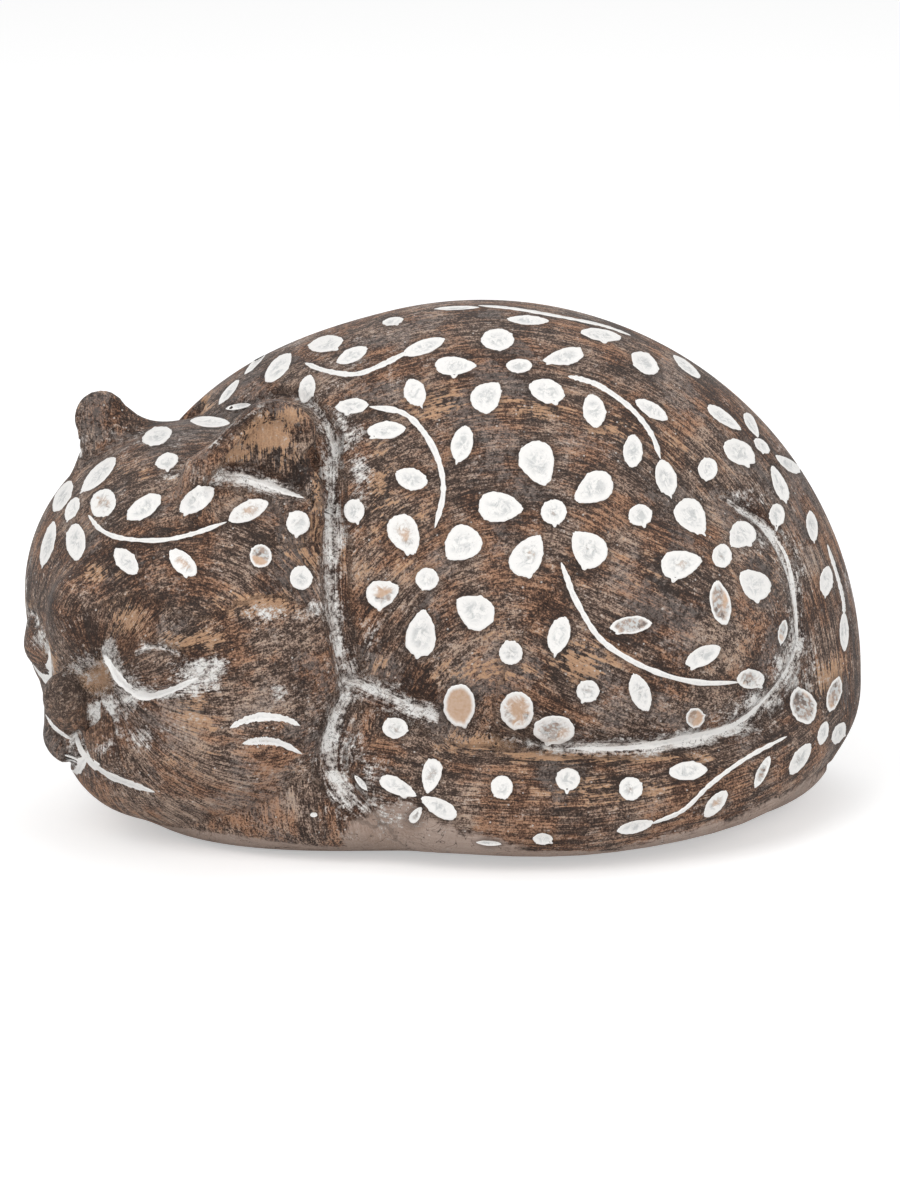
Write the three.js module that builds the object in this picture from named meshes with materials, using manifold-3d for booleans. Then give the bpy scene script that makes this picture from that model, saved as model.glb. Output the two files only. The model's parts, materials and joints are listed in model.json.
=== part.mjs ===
// A curled, sleeping cat: a hollow resin casting that stands on four felt discs.
// The casting is open underneath, and a glued plate with a push-in plug closes it.
// Millimetres, +Z up. The cat lies along X with its head at -X, and -Y is its front.
// The origin is on the surface that it stands on, below the middle of the figure.

import * as THREE from "three";
import { mergeVertices } from "three/addons/utils/BufferGeometryUtils.js";
import Module from "manifold-3d";

const wasm = await Module();
wasm.setup();

// Driving dimensions

// The torso is an egg with a flatter lower half: its half sizes, and where its middle lies.
const TORSO_HALF_LENGTH = 73;
const TORSO_HALF_DEPTH = 44;
const TORSO_HALF_HEIGHT = 73;
const TORSO_LOWER_HEIGHT = 40;
const TORSO_MIDDLE_HEIGHT = 22.5;
const TORSO_SHIFT_RIGHT = 7.3;
const TORSO_SHIFT_BACK = 5;

// The shoulders fill the back behind the head.
const SHOULDER_HALF_LENGTH = 42;
const SHOULDER_HALF_DEPTH = 39;
const SHOULDER_HALF_HEIGHT = 43;

// The head: half its width, its front-to-back size and its height.
const HEAD_HALF_WIDTH = 36.3;
const HEAD_HALF_DEPTH = 33;
const HEAD_HALF_HEIGHT = 33.6;
// The face is turned away from the front of the figure, and hangs down.
const HEAD_TURN = THREE.MathUtils.degToRad(43);
const HEAD_NOD = THREE.MathUtils.degToRad(23);

// Small forms of the face.
const MUZZLE_PAD_RADIUS = 8.8;
const NOSE_RADIUS = 5.2;
const EYELID_HALF_WIDTH = 9;
const EYELID_HALF_HEIGHT = 5.5;
// The far eyelid is a little smaller and hangs lower than the near one.
const FAR_EYELID_HALF_WIDTH = 8;
const FAR_EYELID_HALF_HEIGHT = 5;

// Ears: a rounded flap that tapers from its root to its tip.
const EAR_ROOT_RADIUS = 14;
const EAR_TIP_RADIUS = 7.4;
const EAR_FLATNESS = 2.2;
const EAR_CUP_SHARE = 0.74;
const EAR_CUP_OFFSET = 6.5;
const FAR_EAR_ROOT_RADIUS = 10.9;
const FAR_EAR_TIP_RADIUS = 5.1;

// The folded hind leg, and the tail that wraps round the front.
const HAUNCH_HALF_LENGTH = 41.5;
const HAUNCH_HALF_DEPTH = 35;
const HAUNCH_HALF_HEIGHT = 34;
const TAIL_RADIUS = 11;
const TAIL_TIP_RADIUS = 12.5;

// How sharply one mass meets the next: a small value leaves a crease.
const CREASE = 4;
const SOFT_BLEND = 10;
const FOOT_OVERHANG = 1.2;
const EDGE_ROUNDING = 8;

// The shell, its closing plate, the plug and the felt discs.
const WALL = 6;
const PLATE_HALF_LENGTH = 42;
const PLATE_HALF_DEPTH = 24;
const PLATE_SHIFT_RIGHT = 5;
const PLATE_THICKNESS = 3;
const LEDGE_WIDTH = 4;
const GLUE_GAP = 0.3;
const PLUG_RADIUS = 8;
const PLUG_FLANGE = 2.5;
const PLUG_FLANGE_THICKNESS = 1;
const PLUG_LENGTH = 7;
const FELT_RADIUS = 5;
const FELT_THICKNESS = 2;
const FELT_SINK = 1.2;
const FELT_ANGLE = 40;

// How many cells the modelled surfaces get along half the torso.
const FINE_CELLS = 23;
const COARSE_CELLS = 13;
const HOLLOW_CELLS = 9;
const DRAW_BACK = 0.03;

// Directions of the head: towards the near ear, forwards and upwards.

const level = new THREE.Vector3(-Math.sin(HEAD_TURN), -Math.cos(HEAD_TURN), 0);
const vertical = new THREE.Vector3(0, 0, 1);
const forwards = level
  .clone()
  .multiplyScalar(Math.cos(HEAD_NOD))
  .addScaledVector(vertical, -Math.sin(HEAD_NOD));
const upwards = level
  .clone()
  .multiplyScalar(Math.sin(HEAD_NOD))
  .addScaledVector(vertical, Math.cos(HEAD_NOD));
const sideways = new THREE.Vector3().crossVectors(upwards, forwards);

// The felt discs lift the casting's underside a little above the table.
const underside = FELT_THICKNESS - FELT_SINK;
const plateTop = underside + PLATE_THICKNESS;

const torsoMiddle = new THREE.Vector3(
  TORSO_SHIFT_RIGHT,
  TORSO_SHIFT_BACK,
  underside + TORSO_MIDDLE_HEIGHT,
);

// A place on the torso, as a share of its half sizes from its middle.
function onTorso(x, y, z) {
  return new THREE.Vector3(
    x * TORSO_HALF_LENGTH,
    y * TORSO_HALF_DEPTH,
    z * TORSO_HALF_HEIGHT,
  ).add(torsoMiddle);
}

const headMiddle = onTorso(-0.7046, -0.364, 0.2724);

// A place on the head, as a share of its half sizes from its middle.
function onHead(side, front, up) {
  return headMiddle
    .clone()
    .addScaledVector(sideways, side * HEAD_HALF_WIDTH)
    .addScaledVector(forwards, front * HEAD_HALF_DEPTH)
    .addScaledVector(upwards, up * HEAD_HALF_HEIGHT);
}

// Fields: each gives about the distance in millimetres to a form's surface, below zero inside it.

function blend(a, b, width) {
  const h = Math.max(width - Math.abs(a - b), 0) / width;
  return Math.min(a, b) - (h * h * width) / 4;
}

function carve(a, b, width) {
  return -blend(-a, b, width);
}

function ease(t) {
  const s = THREE.MathUtils.clamp(t, 0, 1);
  return s * s * (3 - 2 * s);
}

const worldAxes = [
  new THREE.Vector3(1, 0, 0),
  new THREE.Vector3(0, 1, 0),
  vertical,
];
const headAxes = [sideways, forwards, upwards];

function egg(middle, radii, axes = worldAxes, lower = radii[2]) {
  const q = new THREE.Vector3();
  return (p) => {
    q.copy(p).sub(middle);
    let near = 0;
    let slope = 0;
    for (let i = 0; i < 3; i += 1) {
      const off = q.dot(axes[i]);
      const radius = i === 2 && off < 0 ? lower : radii[i];
      near += (off / radius) ** 2;
      slope += (off / radius ** 2) ** 2;
    }
    near = Math.sqrt(near);
    return (near * (near - 1)) / Math.max(Math.sqrt(slope), 1e-9);
  };
}

// A flap with a round root and a round tip, flattened across its thickness.
function flap(root, tip, across, rootRadius, tipRadius, flatness) {
  const along = tip.clone().sub(root).normalize();
  const wide = across.clone().addScaledVector(along, -across.dot(along)).normalize();
  const through = new THREE.Vector3().crossVectors(wide, along);
  const reach = tip.distanceTo(root) - tipRadius;
  const q = new THREE.Vector3();
  const field = (p) => {
    q.copy(p).sub(root);
    const up = q.dot(along);
    const t = THREE.MathUtils.clamp(up / reach, 0, 1);
    const off = Math.hypot(q.dot(wide), up - t * reach, q.dot(through) * flatness);
    const radius = THREE.MathUtils.lerp(rootRadius, tipRadius, t);
    return (off - radius) / Math.sqrt(flatness);
  };
  return { field, through };
}

// A rope of changing thickness along a smooth curve.
function rope(points, radii, steps = 28) {
  const curve = new THREE.CatmullRomCurve3(points, false, "catmullrom", 0.5);
  const knots = curve.getPoints(steps);
  const thickness = knots.map((_, i) => {
    const at = (i / steps) * (radii.length - 1);
    const k = Math.min(Math.floor(at), radii.length - 2);
    return THREE.MathUtils.lerp(radii[k], radii[k + 1], at - k);
  });
  const a = new THREE.Vector3();
  const q = new THREE.Vector3();
  return (p) => {
    let least = Infinity;
    for (let i = 0; i < steps; i += 1) {
      a.subVectors(knots[i + 1], knots[i]);
      q.subVectors(p, knots[i]);
      const t = THREE.MathUtils.clamp(q.dot(a) / a.lengthSq(), 0, 1);
      const radius = THREE.MathUtils.lerp(thickness[i], thickness[i + 1], t);
      least = Math.min(least, q.addScaledVector(a, -t).length() - radius);
    }
    return least;
  };
}

// The masses of the cat

const torso = egg(
  torsoMiddle,
  [TORSO_HALF_LENGTH, TORSO_HALF_DEPTH, TORSO_HALF_HEIGHT],
  worldAxes,
  TORSO_LOWER_HEIGHT,
);
const shoulders = egg(onTorso(-0.36, 0, 0.253), [
  SHOULDER_HALF_LENGTH,
  SHOULDER_HALF_DEPTH,
  SHOULDER_HALF_HEIGHT,
]);
// The chest closes the space under the chin, between the head and the tail.
const chest = egg(onTorso(-0.47, -0.545, -0.144), [32, 22, 22]);

// The belly fills the ground between the head, the haunch and the tail.
const belly = egg(onTorso(-0.06, -0.18, -0.2), [66, 43, 16]);

const haunchMiddle = onTorso(0.27, -0.341, 0.185);
const haunch = egg(haunchMiddle, [
  HAUNCH_HALF_LENGTH,
  HAUNCH_HALF_DEPTH,
  HAUNCH_HALF_HEIGHT,
]);
const haunchFades = new THREE.Vector3(-0.75, 0, 0.66);

const tail = rope(
  [
    onTorso(0.5, 0.5, 0),
    onTorso(0.83, 0.2, -0.04),
    onTorso(0.78, -0.35, -0.07),
    onTorso(0.6, -0.75, -0.13),
    onTorso(0.26, -0.98, -0.17),
    onTorso(-0.06, -0.99, -0.16),
    onTorso(-0.19, -0.9, -0.13),
  ],
  [9, 10.5, TAIL_RADIUS, TAIL_RADIUS, TAIL_RADIUS, TAIL_RADIUS, TAIL_TIP_RADIUS],
);

const skull = egg(headMiddle, [HEAD_HALF_WIDTH, HEAD_HALF_DEPTH, HEAD_HALF_HEIGHT], headAxes);
// The lower cheek hangs to the ground, so it stays upright while the head is tilted.
const cheek = egg(headMiddle.clone().add(new THREE.Vector3(3.1, -6, -19.1)), [29.3, 30, 21.4]);
const jaw = egg(onHead(0, 0.476, -0.53), [16, 20, 12], headAxes);
const bridge = egg(onHead(0, 0.886, 0.3), [6, 5, 12], headAxes);
const nose = egg(onHead(0, 1.102, 0.045), [NOSE_RADIUS, NOSE_RADIUS, NOSE_RADIUS * 1.2], headAxes);
const muzzlePads = [1, -1].map((side) =>
  egg(
    onHead(side * 0.15, 0.96, -0.256),
    [MUZZLE_PAD_RADIUS, MUZZLE_PAD_RADIUS, MUZZLE_PAD_RADIUS * 0.83],
    headAxes,
  ),
);
const eyelids = [
  egg(onHead(0.352, 0.845, 0.15), [EYELID_HALF_WIDTH, 5, EYELID_HALF_HEIGHT], headAxes),
  egg(
    onHead(-0.356, 0.814, 0.052),
    [FAR_EYELID_HALF_WIDTH, 4.8, FAR_EYELID_HALF_HEIGHT],
    headAxes,
  ),
];

const nearEarRoot = onHead(0.613, -0.071, 0.831);
const nearEarTip = onHead(0.637, -0.433, 1.163);
const earWidth = new THREE.Vector3(1, 0.1, 0);
const nearEar = flap(
  nearEarRoot,
  nearEarTip,
  earWidth,
  EAR_ROOT_RADIUS,
  EAR_TIP_RADIUS,
  EAR_FLATNESS,
);
// The cup is a smaller flap of the same shape, set in front of the ear.
const nearEarCup = flap(
  nearEarRoot.clone().addScaledVector(nearEar.through, EAR_CUP_OFFSET),
  nearEarTip.clone().addScaledVector(nearEar.through, EAR_CUP_OFFSET),
  earWidth,
  EAR_ROOT_RADIUS * EAR_CUP_SHARE,
  EAR_TIP_RADIUS * EAR_CUP_SHARE,
  EAR_FLATNESS * EAR_CUP_SHARE,
);
const farEar = flap(
  onHead(-0.364, -0.062, 0.724),
  onHead(-0.51, -0.103, 1.195),
  new THREE.Vector3(1, 0.35, 0),
  FAR_EAR_ROOT_RADIUS,
  FAR_EAR_TIP_RADIUS,
  EAR_FLATNESS,
);

function bareHead(p) {
  return blend(blend(skull(p), cheek(p), 14), jaw(p), 12);
}

function headField(p) {
  let d = bareHead(p);
  d = blend(d, bridge(p), 8);
  d = blend(d, blend(muzzlePads[0](p), muzzlePads[1](p), 2), CREASE);
  d = blend(d, nose(p), 2);
  d = blend(d, Math.min(eyelids[0](p), eyelids[1](p)), CREASE);
  const cupped = carve(nearEar.field(p), nearEarCup.field(p), 2);
  d = blend(d, cupped, 4);
  return blend(d, farEar.field(p), 4);
}

const fromHaunch = new THREE.Vector3();

// The rounded foot reaches below the flat underside, which is cut afterwards.
function standing(d, p) {
  const above = p.z - underside + FOOT_OVERHANG;
  return -blend(-d, above, EDGE_ROUNDING);
}

function trunk(p) {
  const back = blend(torso(p), shoulders(p), SOFT_BLEND);
  const front = blend(blend(back, belly(p), SOFT_BLEND), chest(p), 8);
  // The haunch has a crease behind and below, and fades into the back above.
  const fade = fromHaunch.copy(p).sub(haunchMiddle).dot(haunchFades) / 25;
  return blend(front, haunch(p), CREASE + 12 * ease(fade));
}

function skinField(p) {
  const d = blend(blend(trunk(p), tail(p), CREASE), headField(p), 4);
  return standing(d, p);
}

// The hollow follows the large masses: the ears, the tail and the face are cast solid.
function hollowField(p) {
  const d = standing(blend(trunk(p), bareHead(p), 4), p);
  return Math.max(d + WALL, plateTop + LEDGE_WIDTH - p.z);
}

// Places along one axis: close together up to a limit, and wider apart after it.
function ticks(from, limit, to, fine, coarse) {
  const places = [from];
  while (places.at(-1) < to) {
    const here = places.at(-1);
    const share = ease((here - limit) / (4 * coarse) + 0.5);
    places.push(here + THREE.MathUtils.lerp(fine, coarse, share));
  }
  return places;
}

// Turns a field into a closed mesh: one vertex in each cell that the surface crosses,
// drawn onto the surface, and one square across each cell edge that it crosses.
function meshOf(field, grid) {
  const count = grid.map((places) => places.length);
  const at = (i, j, k) => (k * count[1] + j) * count[0] + i;
  const values = new Float64Array(count[0] * count[1] * count[2]);
  const p = new THREE.Vector3();
  for (let k = 0; k < count[2]; k += 1)
    for (let j = 0; j < count[1]; j += 1)
      for (let i = 0; i < count[0]; i += 1)
        values[at(i, j, k)] = field(p.set(grid[0][i], grid[1][j], grid[2][k]));

  const vertexOf = new Map();
  const positions = [];
  for (let k = 0; k < count[2] - 1; k += 1)
    for (let j = 0; j < count[1] - 1; j += 1)
      for (let i = 0; i < count[0] - 1; i += 1) {
        const low = new THREE.Vector3(grid[0][i], grid[1][j], grid[2][k]);
        const high = new THREE.Vector3(grid[0][i + 1], grid[1][j + 1], grid[2][k + 1]);
        const middle = crossingMiddle(low, high, (c) =>
          values[at(i + (c & 1), j + ((c >> 1) & 1), k + (c >> 2))],
        );
        if (!middle) continue;
        vertexOf.set(at(i, j, k), positions.length / 3);
        positions.push(...drawnTo(field, middle, low, high).toArray());
      }

  const triangles = [];
  for (let k = 1; k < count[2] - 1; k += 1)
    for (let j = 1; j < count[1] - 1; j += 1)
      for (let i = 1; i < count[0] - 1; i += 1)
        for (let axis = 0; axis < 3; axis += 1) {
          const next = [i, j, k];
          next[axis] += 1;
          const inside = values[at(i, j, k)] < 0;
          if (inside === values[at(...next)] < 0) continue;
          const ring = [[0, 0], [1, 0], [1, 1], [0, 1]].map(([du, dv]) => {
            const c = [i, j, k];
            c[(axis + 1) % 3] -= du;
            c[(axis + 2) % 3] -= dv;
            return vertexOf.get(at(...c));
          });
          if (!inside) ring.reverse();
          triangles.push(...splitSquare(ring, positions));
        }
  const geometry = new THREE.BufferGeometry();
  geometry.setAttribute("position", new THREE.Float32BufferAttribute(positions, 3));
  geometry.setIndex(triangles);
  return geometry;
}

// The mean of the places where the surface crosses the twelve edges of a cell.
function crossingMiddle(low, high, valueAt) {
  const sum = new THREE.Vector3();
  let crossings = 0;
  for (let a = 0; a < 8; a += 1)
    for (const bit of [1, 2, 4]) {
      const b = a | bit;
      if (b === a) continue;
      const va = valueAt(a);
      const vb = valueAt(b);
      if (va < 0 === vb < 0) continue;
      const share = va / (va - vb);
      const along = (own) => (bit === own ? share : a & own ? 1 : 0);
      sum.x += THREE.MathUtils.lerp(low.x, high.x, along(1));
      sum.y += THREE.MathUtils.lerp(low.y, high.y, along(2));
      sum.z += THREE.MathUtils.lerp(low.z, high.z, along(4));
      crossings += 1;
    }
  return crossings ? sum.divideScalar(crossings) : null;
}

// Moves a point onto the surface, without letting it leave its own cell.
function drawnTo(field, start, low, high) {
  const p = start.clone();
  const margin = high.clone().sub(low).multiplyScalar(0.04);
  const least = low.clone().add(margin);
  const most = high.clone().sub(margin);
  const step = 0.05;
  const probe = new THREE.Vector3();
  const slope = new THREE.Vector3();
  for (let round = 0; round < 4; round += 1) {
    const value = field(p);
    const along = worldAxes.map(
      (axis) =>
        (field(probe.copy(p).addScaledVector(axis, step)) -
          field(probe.copy(p).addScaledVector(axis, -step))) /
        (2 * step),
    );
    slope.fromArray(along);
    p.addScaledVector(slope, -value / Math.max(slope.lengthSq(), 0.1));
    p.clamp(least, most);
  }
  return p;
}

// Two triangles across the shorter diagonal of a square of vertices.
function splitSquare(ring, positions) {
  const [a, b, c, d] = ring;
  const point = (i) => new THREE.Vector3().fromArray(positions, i * 3);
  if (point(a).distanceTo(point(c)) < point(b).distanceTo(point(d)))
    return [a, b, c, a, c, d];
  return [a, b, d, b, c, d];
}

// Solids, for joining and cutting

function solidOf(geometry) {
  const bare = geometry.clone();
  bare.deleteAttribute("normal");
  bare.deleteAttribute("uv");
  const merged = mergeVertices(bare, 1e-4);
  return new wasm.Manifold(
    new wasm.Mesh({
      numProp: 3,
      vertProperties: merged.attributes.position.array,
      triVerts: new Uint32Array(merged.index.array),
    }),
  );
}

function geometryOf(solid) {
  const mesh = solid.getMesh();
  const geometry = new THREE.BufferGeometry();
  geometry.setAttribute("position", new THREE.BufferAttribute(mesh.vertProperties, 3));
  geometry.setIndex(new THREE.BufferAttribute(mesh.triVerts, 1));
  partTouchingCorners(geometry);
  geometry.computeVertexNormals();
  return geometry;
}

// Where two sheets of the surface touch at a corner, each draws back towards its own side.
function partTouchingCorners(geometry) {
  const { position } = geometry.attributes;
  const corners = geometry.index.array;
  const sharing = new Map();
  for (let i = 0; i < position.count; i += 1) {
    const place = [position.getX(i), position.getY(i), position.getZ(i)];
    const key = place.map((v) => v.toFixed(4)).join();
    sharing.set(key, [...(sharing.get(key) ?? []), i]);
  }
  const touching = new Set([...sharing.values()].filter((s) => s.length > 1).flat());
  if (!touching.size) return;
  const pulls = new Map([...touching].map((i) => [i, new THREE.Vector4()]));
  for (let t = 0; t < corners.length; t += 3)
    for (let c = 0; c < 3; c += 1) {
      const pull = pulls.get(corners[t + c]);
      const next = corners[t + ((c + 1) % 3)];
      if (!pull || touching.has(next)) continue;
      pull.add(new THREE.Vector4(position.getX(next), position.getY(next), position.getZ(next), 1));
    }
  for (const [i, pull] of pulls) {
    const own = new THREE.Vector3().fromBufferAttribute(position, i);
    const mean = new THREE.Vector3(pull.x, pull.y, pull.z).divideScalar(pull.w || 1);
    if (pull.w) position.setXYZ(i, ...own.lerp(mean, DRAW_BACK).toArray());
  }
}

// An upright prism with the oval outline that the plate and its seat share.
function ovalPrism(extra, bottom, top) {
  const outline = new THREE.Shape();
  outline.absellipse(
    PLATE_SHIFT_RIGHT,
    0,
    PLATE_HALF_LENGTH + extra,
    PLATE_HALF_DEPTH + extra,
    0,
    2 * Math.PI,
    false,
    0,
  );
  return new THREE.ExtrudeGeometry(outline, {
    depth: top - bottom,
    bevelEnabled: false,
    curveSegments: 48,
  }).translate(0, 0, bottom);
}

// The felt discs sit in round sockets in the rim, outside the plate.
const feltAngle = THREE.MathUtils.degToRad(FELT_ANGLE);
const feltNames = ["front_left", "front_right", "rear_left", "rear_right"];
const feltPlaces = [[-1, -1], [1, -1], [-1, 1], [1, 1]].map(([x, y]) => {
  const reach = FELT_RADIUS + LEDGE_WIDTH;
  return [
    PLATE_SHIFT_RIGHT + x * (PLATE_HALF_LENGTH + reach) * Math.cos(feltAngle),
    y * (PLATE_HALF_DEPTH + reach) * Math.sin(feltAngle),
  ];
});

function castingGeometry() {
  const left = -TORSO_HALF_LENGTH - 15;
  const right = TORSO_HALF_LENGTH + 18;
  const front = -TORSO_HALF_DEPTH - 16;
  const back = TORSO_HALF_DEPTH + 18;
  const bottom = underside - 10;
  const top = TORSO_MIDDLE_HEIGHT + TORSO_HALF_HEIGHT + 10;
  // The cells are smallest around the face and the ears.
  const fine = TORSO_HALF_LENGTH / FINE_CELLS;
  const coarse = TORSO_HALF_LENGTH / COARSE_CELLS;
  const upright = TORSO_HALF_HEIGHT / FINE_CELLS;
  const skin = solidOf(
    meshOf(skinField, [
      ticks(left, headMiddle.x + HEAD_HALF_WIDTH, right, fine, coarse),
      ticks(front, headMiddle.y, back, fine, coarse),
      ticks(bottom, top, top, upright, upright),
    ]),
  );
  const wide = TORSO_HALF_LENGTH / HOLLOW_CELLS;
  const hollow = solidOf(
    meshOf(hollowField, [
      ticks(left, right, right, wide, wide),
      ticks(front, back, back, wide, wide),
      ticks(bottom, top, top, wide, wide),
    ]),
  );
  const below = new THREE.BoxGeometry(4 * right, 4 * right, 40);
  below.translate(0, 0, underside - 20);
  const mouth = solidOf(ovalPrism(-LEDGE_WIDTH, 0, plateTop + 2 * LEDGE_WIDTH));
  const seat = solidOf(ovalPrism(GLUE_GAP, 0, plateTop + GLUE_GAP));
  let casting = skin.subtract(solidOf(below)).subtract(hollow).subtract(mouth).subtract(seat);
  for (const [x, y] of feltPlaces) {
    const socket = new THREE.CylinderGeometry(
      FELT_RADIUS + GLUE_GAP,
      FELT_RADIUS + GLUE_GAP,
      2 * (FELT_SINK + GLUE_GAP),
      32,
    );
    socket.rotateX(Math.PI / 2).translate(x, y, underside);
    casting = casting.subtract(solidOf(socket));
  }
  return geometryOf(casting);
}

// The plate has a counterbored hole, so that the plug's flange lies flush.
function plateGeometry() {
  const flange = new THREE.CylinderGeometry(
    PLUG_RADIUS + PLUG_FLANGE + GLUE_GAP,
    PLUG_RADIUS + PLUG_FLANGE + GLUE_GAP,
    2 * (PLUG_FLANGE_THICKNESS + GLUE_GAP),
    40,
  );
  flange.rotateX(Math.PI / 2).translate(PLATE_SHIFT_RIGHT, 0, underside);
  const hole = new THREE.CylinderGeometry(
    PLUG_RADIUS + GLUE_GAP,
    PLUG_RADIUS + GLUE_GAP,
    4 * PLATE_THICKNESS,
    40,
  );
  hole.rotateX(Math.PI / 2).translate(PLATE_SHIFT_RIGHT, 0, underside);
  const plate = solidOf(ovalPrism(0, underside, plateTop));
  return geometryOf(plate.subtract(solidOf(flange)).subtract(solidOf(hole)));
}

// A push-in plug: a flange, a waist that fills the hole and a barb that holds it.
function plugGeometry() {
  const seatHeight = underside + PLUG_FLANGE_THICKNESS;
  const outline = [
    [0, underside],
    [PLUG_RADIUS + PLUG_FLANGE, underside],
    [PLUG_RADIUS + PLUG_FLANGE, seatHeight],
    [PLUG_RADIUS, seatHeight],
    [PLUG_RADIUS, plateTop + GLUE_GAP],
    [PLUG_RADIUS + 1, plateTop + 2 * GLUE_GAP],
    [PLUG_RADIUS - 1.5, underside + PLUG_LENGTH],
    [0, underside + PLUG_LENGTH],
  ];
  return new THREE.LatheGeometry(
    outline.map(([r, z]) => new THREE.Vector2(r, z)),
    40,
  )
    .rotateX(Math.PI / 2)
    .translate(PLATE_SHIFT_RIGHT, 0, 0);
}

function feltGeometry() {
  const disc = new THREE.CylinderGeometry(FELT_RADIUS, FELT_RADIUS, FELT_THICKNESS, 32);
  return disc.rotateX(Math.PI / 2).translate(0, 0, FELT_THICKNESS / 2);
}

// Materials

const stainedResin = new THREE.MeshStandardMaterial({ color: 0x4a3629, roughness: 0.72 });
const bareResin = new THREE.MeshStandardMaterial({ color: 0xb79a78, roughness: 0.8 });
const softPlastic = new THREE.MeshStandardMaterial({ color: 0xd9d5cb, roughness: 0.5 });
const felt = new THREE.MeshStandardMaterial({ color: 0x3a2f2a, roughness: 1 });

// The assembly

const cat = new THREE.Group();

function addPiece(name, geometry, material) {
  const mesh = new THREE.Mesh(geometry, material);
  mesh.name = name;
  cat.add(mesh);
  return mesh;
}

const casting = addPiece("body_casting", castingGeometry(), stainedResin);
addPiece("base_plate", plateGeometry(), bareResin);
addPiece("filler_plug", plugGeometry(), softPlastic);

feltPlaces.forEach(([x, y], i) => {
  const disc = addPiece(`felt_disc_${feltNames[i]}`, feltGeometry(), felt);
  disc.position.set(x, y, 0);
});

// The origin lies below the middle of the figure's length and depth.
const middle = new THREE.Box3().setFromObject(casting).getCenter(new THREE.Vector3());
for (const piece of cat.children) piece.position.sub(middle.setZ(0));

export default cat;
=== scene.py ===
import json
import math

import bmesh
import bpy
import numpy as np
from bpy.props import FloatProperty, FloatVectorProperty, IntProperty, PointerProperty
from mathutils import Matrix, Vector
from mathutils.bvhtree import BVHTree

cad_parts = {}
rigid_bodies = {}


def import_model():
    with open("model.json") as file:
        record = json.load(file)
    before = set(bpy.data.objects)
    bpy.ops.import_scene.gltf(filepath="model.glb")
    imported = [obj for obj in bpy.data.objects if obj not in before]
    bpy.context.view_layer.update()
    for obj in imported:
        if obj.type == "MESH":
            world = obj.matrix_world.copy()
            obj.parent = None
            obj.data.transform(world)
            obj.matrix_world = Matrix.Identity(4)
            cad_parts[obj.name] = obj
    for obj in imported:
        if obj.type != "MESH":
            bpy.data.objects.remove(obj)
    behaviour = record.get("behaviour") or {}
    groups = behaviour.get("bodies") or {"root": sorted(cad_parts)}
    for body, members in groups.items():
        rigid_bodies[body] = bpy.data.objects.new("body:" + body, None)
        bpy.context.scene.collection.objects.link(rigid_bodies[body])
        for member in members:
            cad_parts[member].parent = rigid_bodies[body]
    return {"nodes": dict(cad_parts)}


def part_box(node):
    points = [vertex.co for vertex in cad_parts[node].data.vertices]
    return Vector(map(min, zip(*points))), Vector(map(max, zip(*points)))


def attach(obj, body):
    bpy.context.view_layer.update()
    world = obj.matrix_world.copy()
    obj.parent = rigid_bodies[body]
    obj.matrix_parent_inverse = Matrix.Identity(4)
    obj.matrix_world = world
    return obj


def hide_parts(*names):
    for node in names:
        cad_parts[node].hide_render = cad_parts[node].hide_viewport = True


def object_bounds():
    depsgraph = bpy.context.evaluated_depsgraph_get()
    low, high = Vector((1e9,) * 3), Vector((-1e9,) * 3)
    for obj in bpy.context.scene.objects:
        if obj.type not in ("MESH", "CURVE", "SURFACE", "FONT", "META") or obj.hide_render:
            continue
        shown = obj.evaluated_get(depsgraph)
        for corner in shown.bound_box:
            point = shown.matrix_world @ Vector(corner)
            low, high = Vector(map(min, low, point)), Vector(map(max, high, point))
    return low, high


bl_info = {
    "name": "Curled Cat Figurine",
    "version": (1, 0, 0),
    "blender": (4, 5, 0),
    "location": "View3D > Sidebar > Cat",
    "description": "Finishes for a sleeping cat cast in resin, stained and filled with white",
    "category": "Add Mesh",
}

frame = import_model()
CAD_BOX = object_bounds()

MM = 0.001

# The camera: how far off it stands, how many degrees up, and its lens, in millimetres.
CAMERA_DISTANCE = 900.0
CAMERA_HEIGHT = 15.0
LENS = 141.5


def tone(red, green, blue):
    """A colour as a screen shows it, 0 to 255, turned into the light it stands for."""
    shares = [c / 255 for c in (red, green, blue)]
    return tuple(s / 12.92 if s <= 0.04045 else ((s + 0.055) / 1.055) ** 2.4 for s in shares)


# The form: rounded masses, each a field in millimetres, below zero inside

# The form is drawn round its own middle. The plate shows how far that is off the frame's.
PLATE_PLACE = np.array((5.0, 0.0))
plate_corners = np.array(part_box("base_plate")) / MM
FORM_OFFSET = np.append(plate_corners.mean(0)[:2] - PLATE_PLACE, 0.0)
AIM = FORM_OFFSET + (1.24, 0.0, 39.5)
UNDERSIDE = 0.8
HEAD_TURN = math.radians(43)
HEAD_NOD = math.radians(23)
WORLD_AXES = np.eye(3)

level = np.array((-math.sin(HEAD_TURN), -math.cos(HEAD_TURN), 0))
FORWARDS = level * math.cos(HEAD_NOD) - WORLD_AXES[2] * math.sin(HEAD_NOD)
UPWARDS = level * math.sin(HEAD_NOD) + WORLD_AXES[2] * math.cos(HEAD_NOD)
SIDEWAYS = np.cross(UPWARDS, FORWARDS)
HEAD_AXES = np.array((SIDEWAYS, FORWARDS, UPWARDS))

TORSO_RADII = np.array((73.0, 44.0, 73.0))
HEAD_RADII = np.array((36.3, 33.0, 33.6))
TORSO_MIDDLE = np.array((7.3, 5.0, 23.3))


def on_torso(x, y, z):
    return TORSO_MIDDLE + np.array((x, y, z)) * TORSO_RADII


HEAD_MIDDLE = on_torso(-0.7046, -0.364, 0.2724)


def on_head(side, front, up):
    return HEAD_MIDDLE + (np.array((side, front, up)) * HEAD_RADII) @ HEAD_AXES


def ease(t):
    t = np.clip(t, 0, 1)
    return t * t * (3 - 2 * t)


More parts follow.
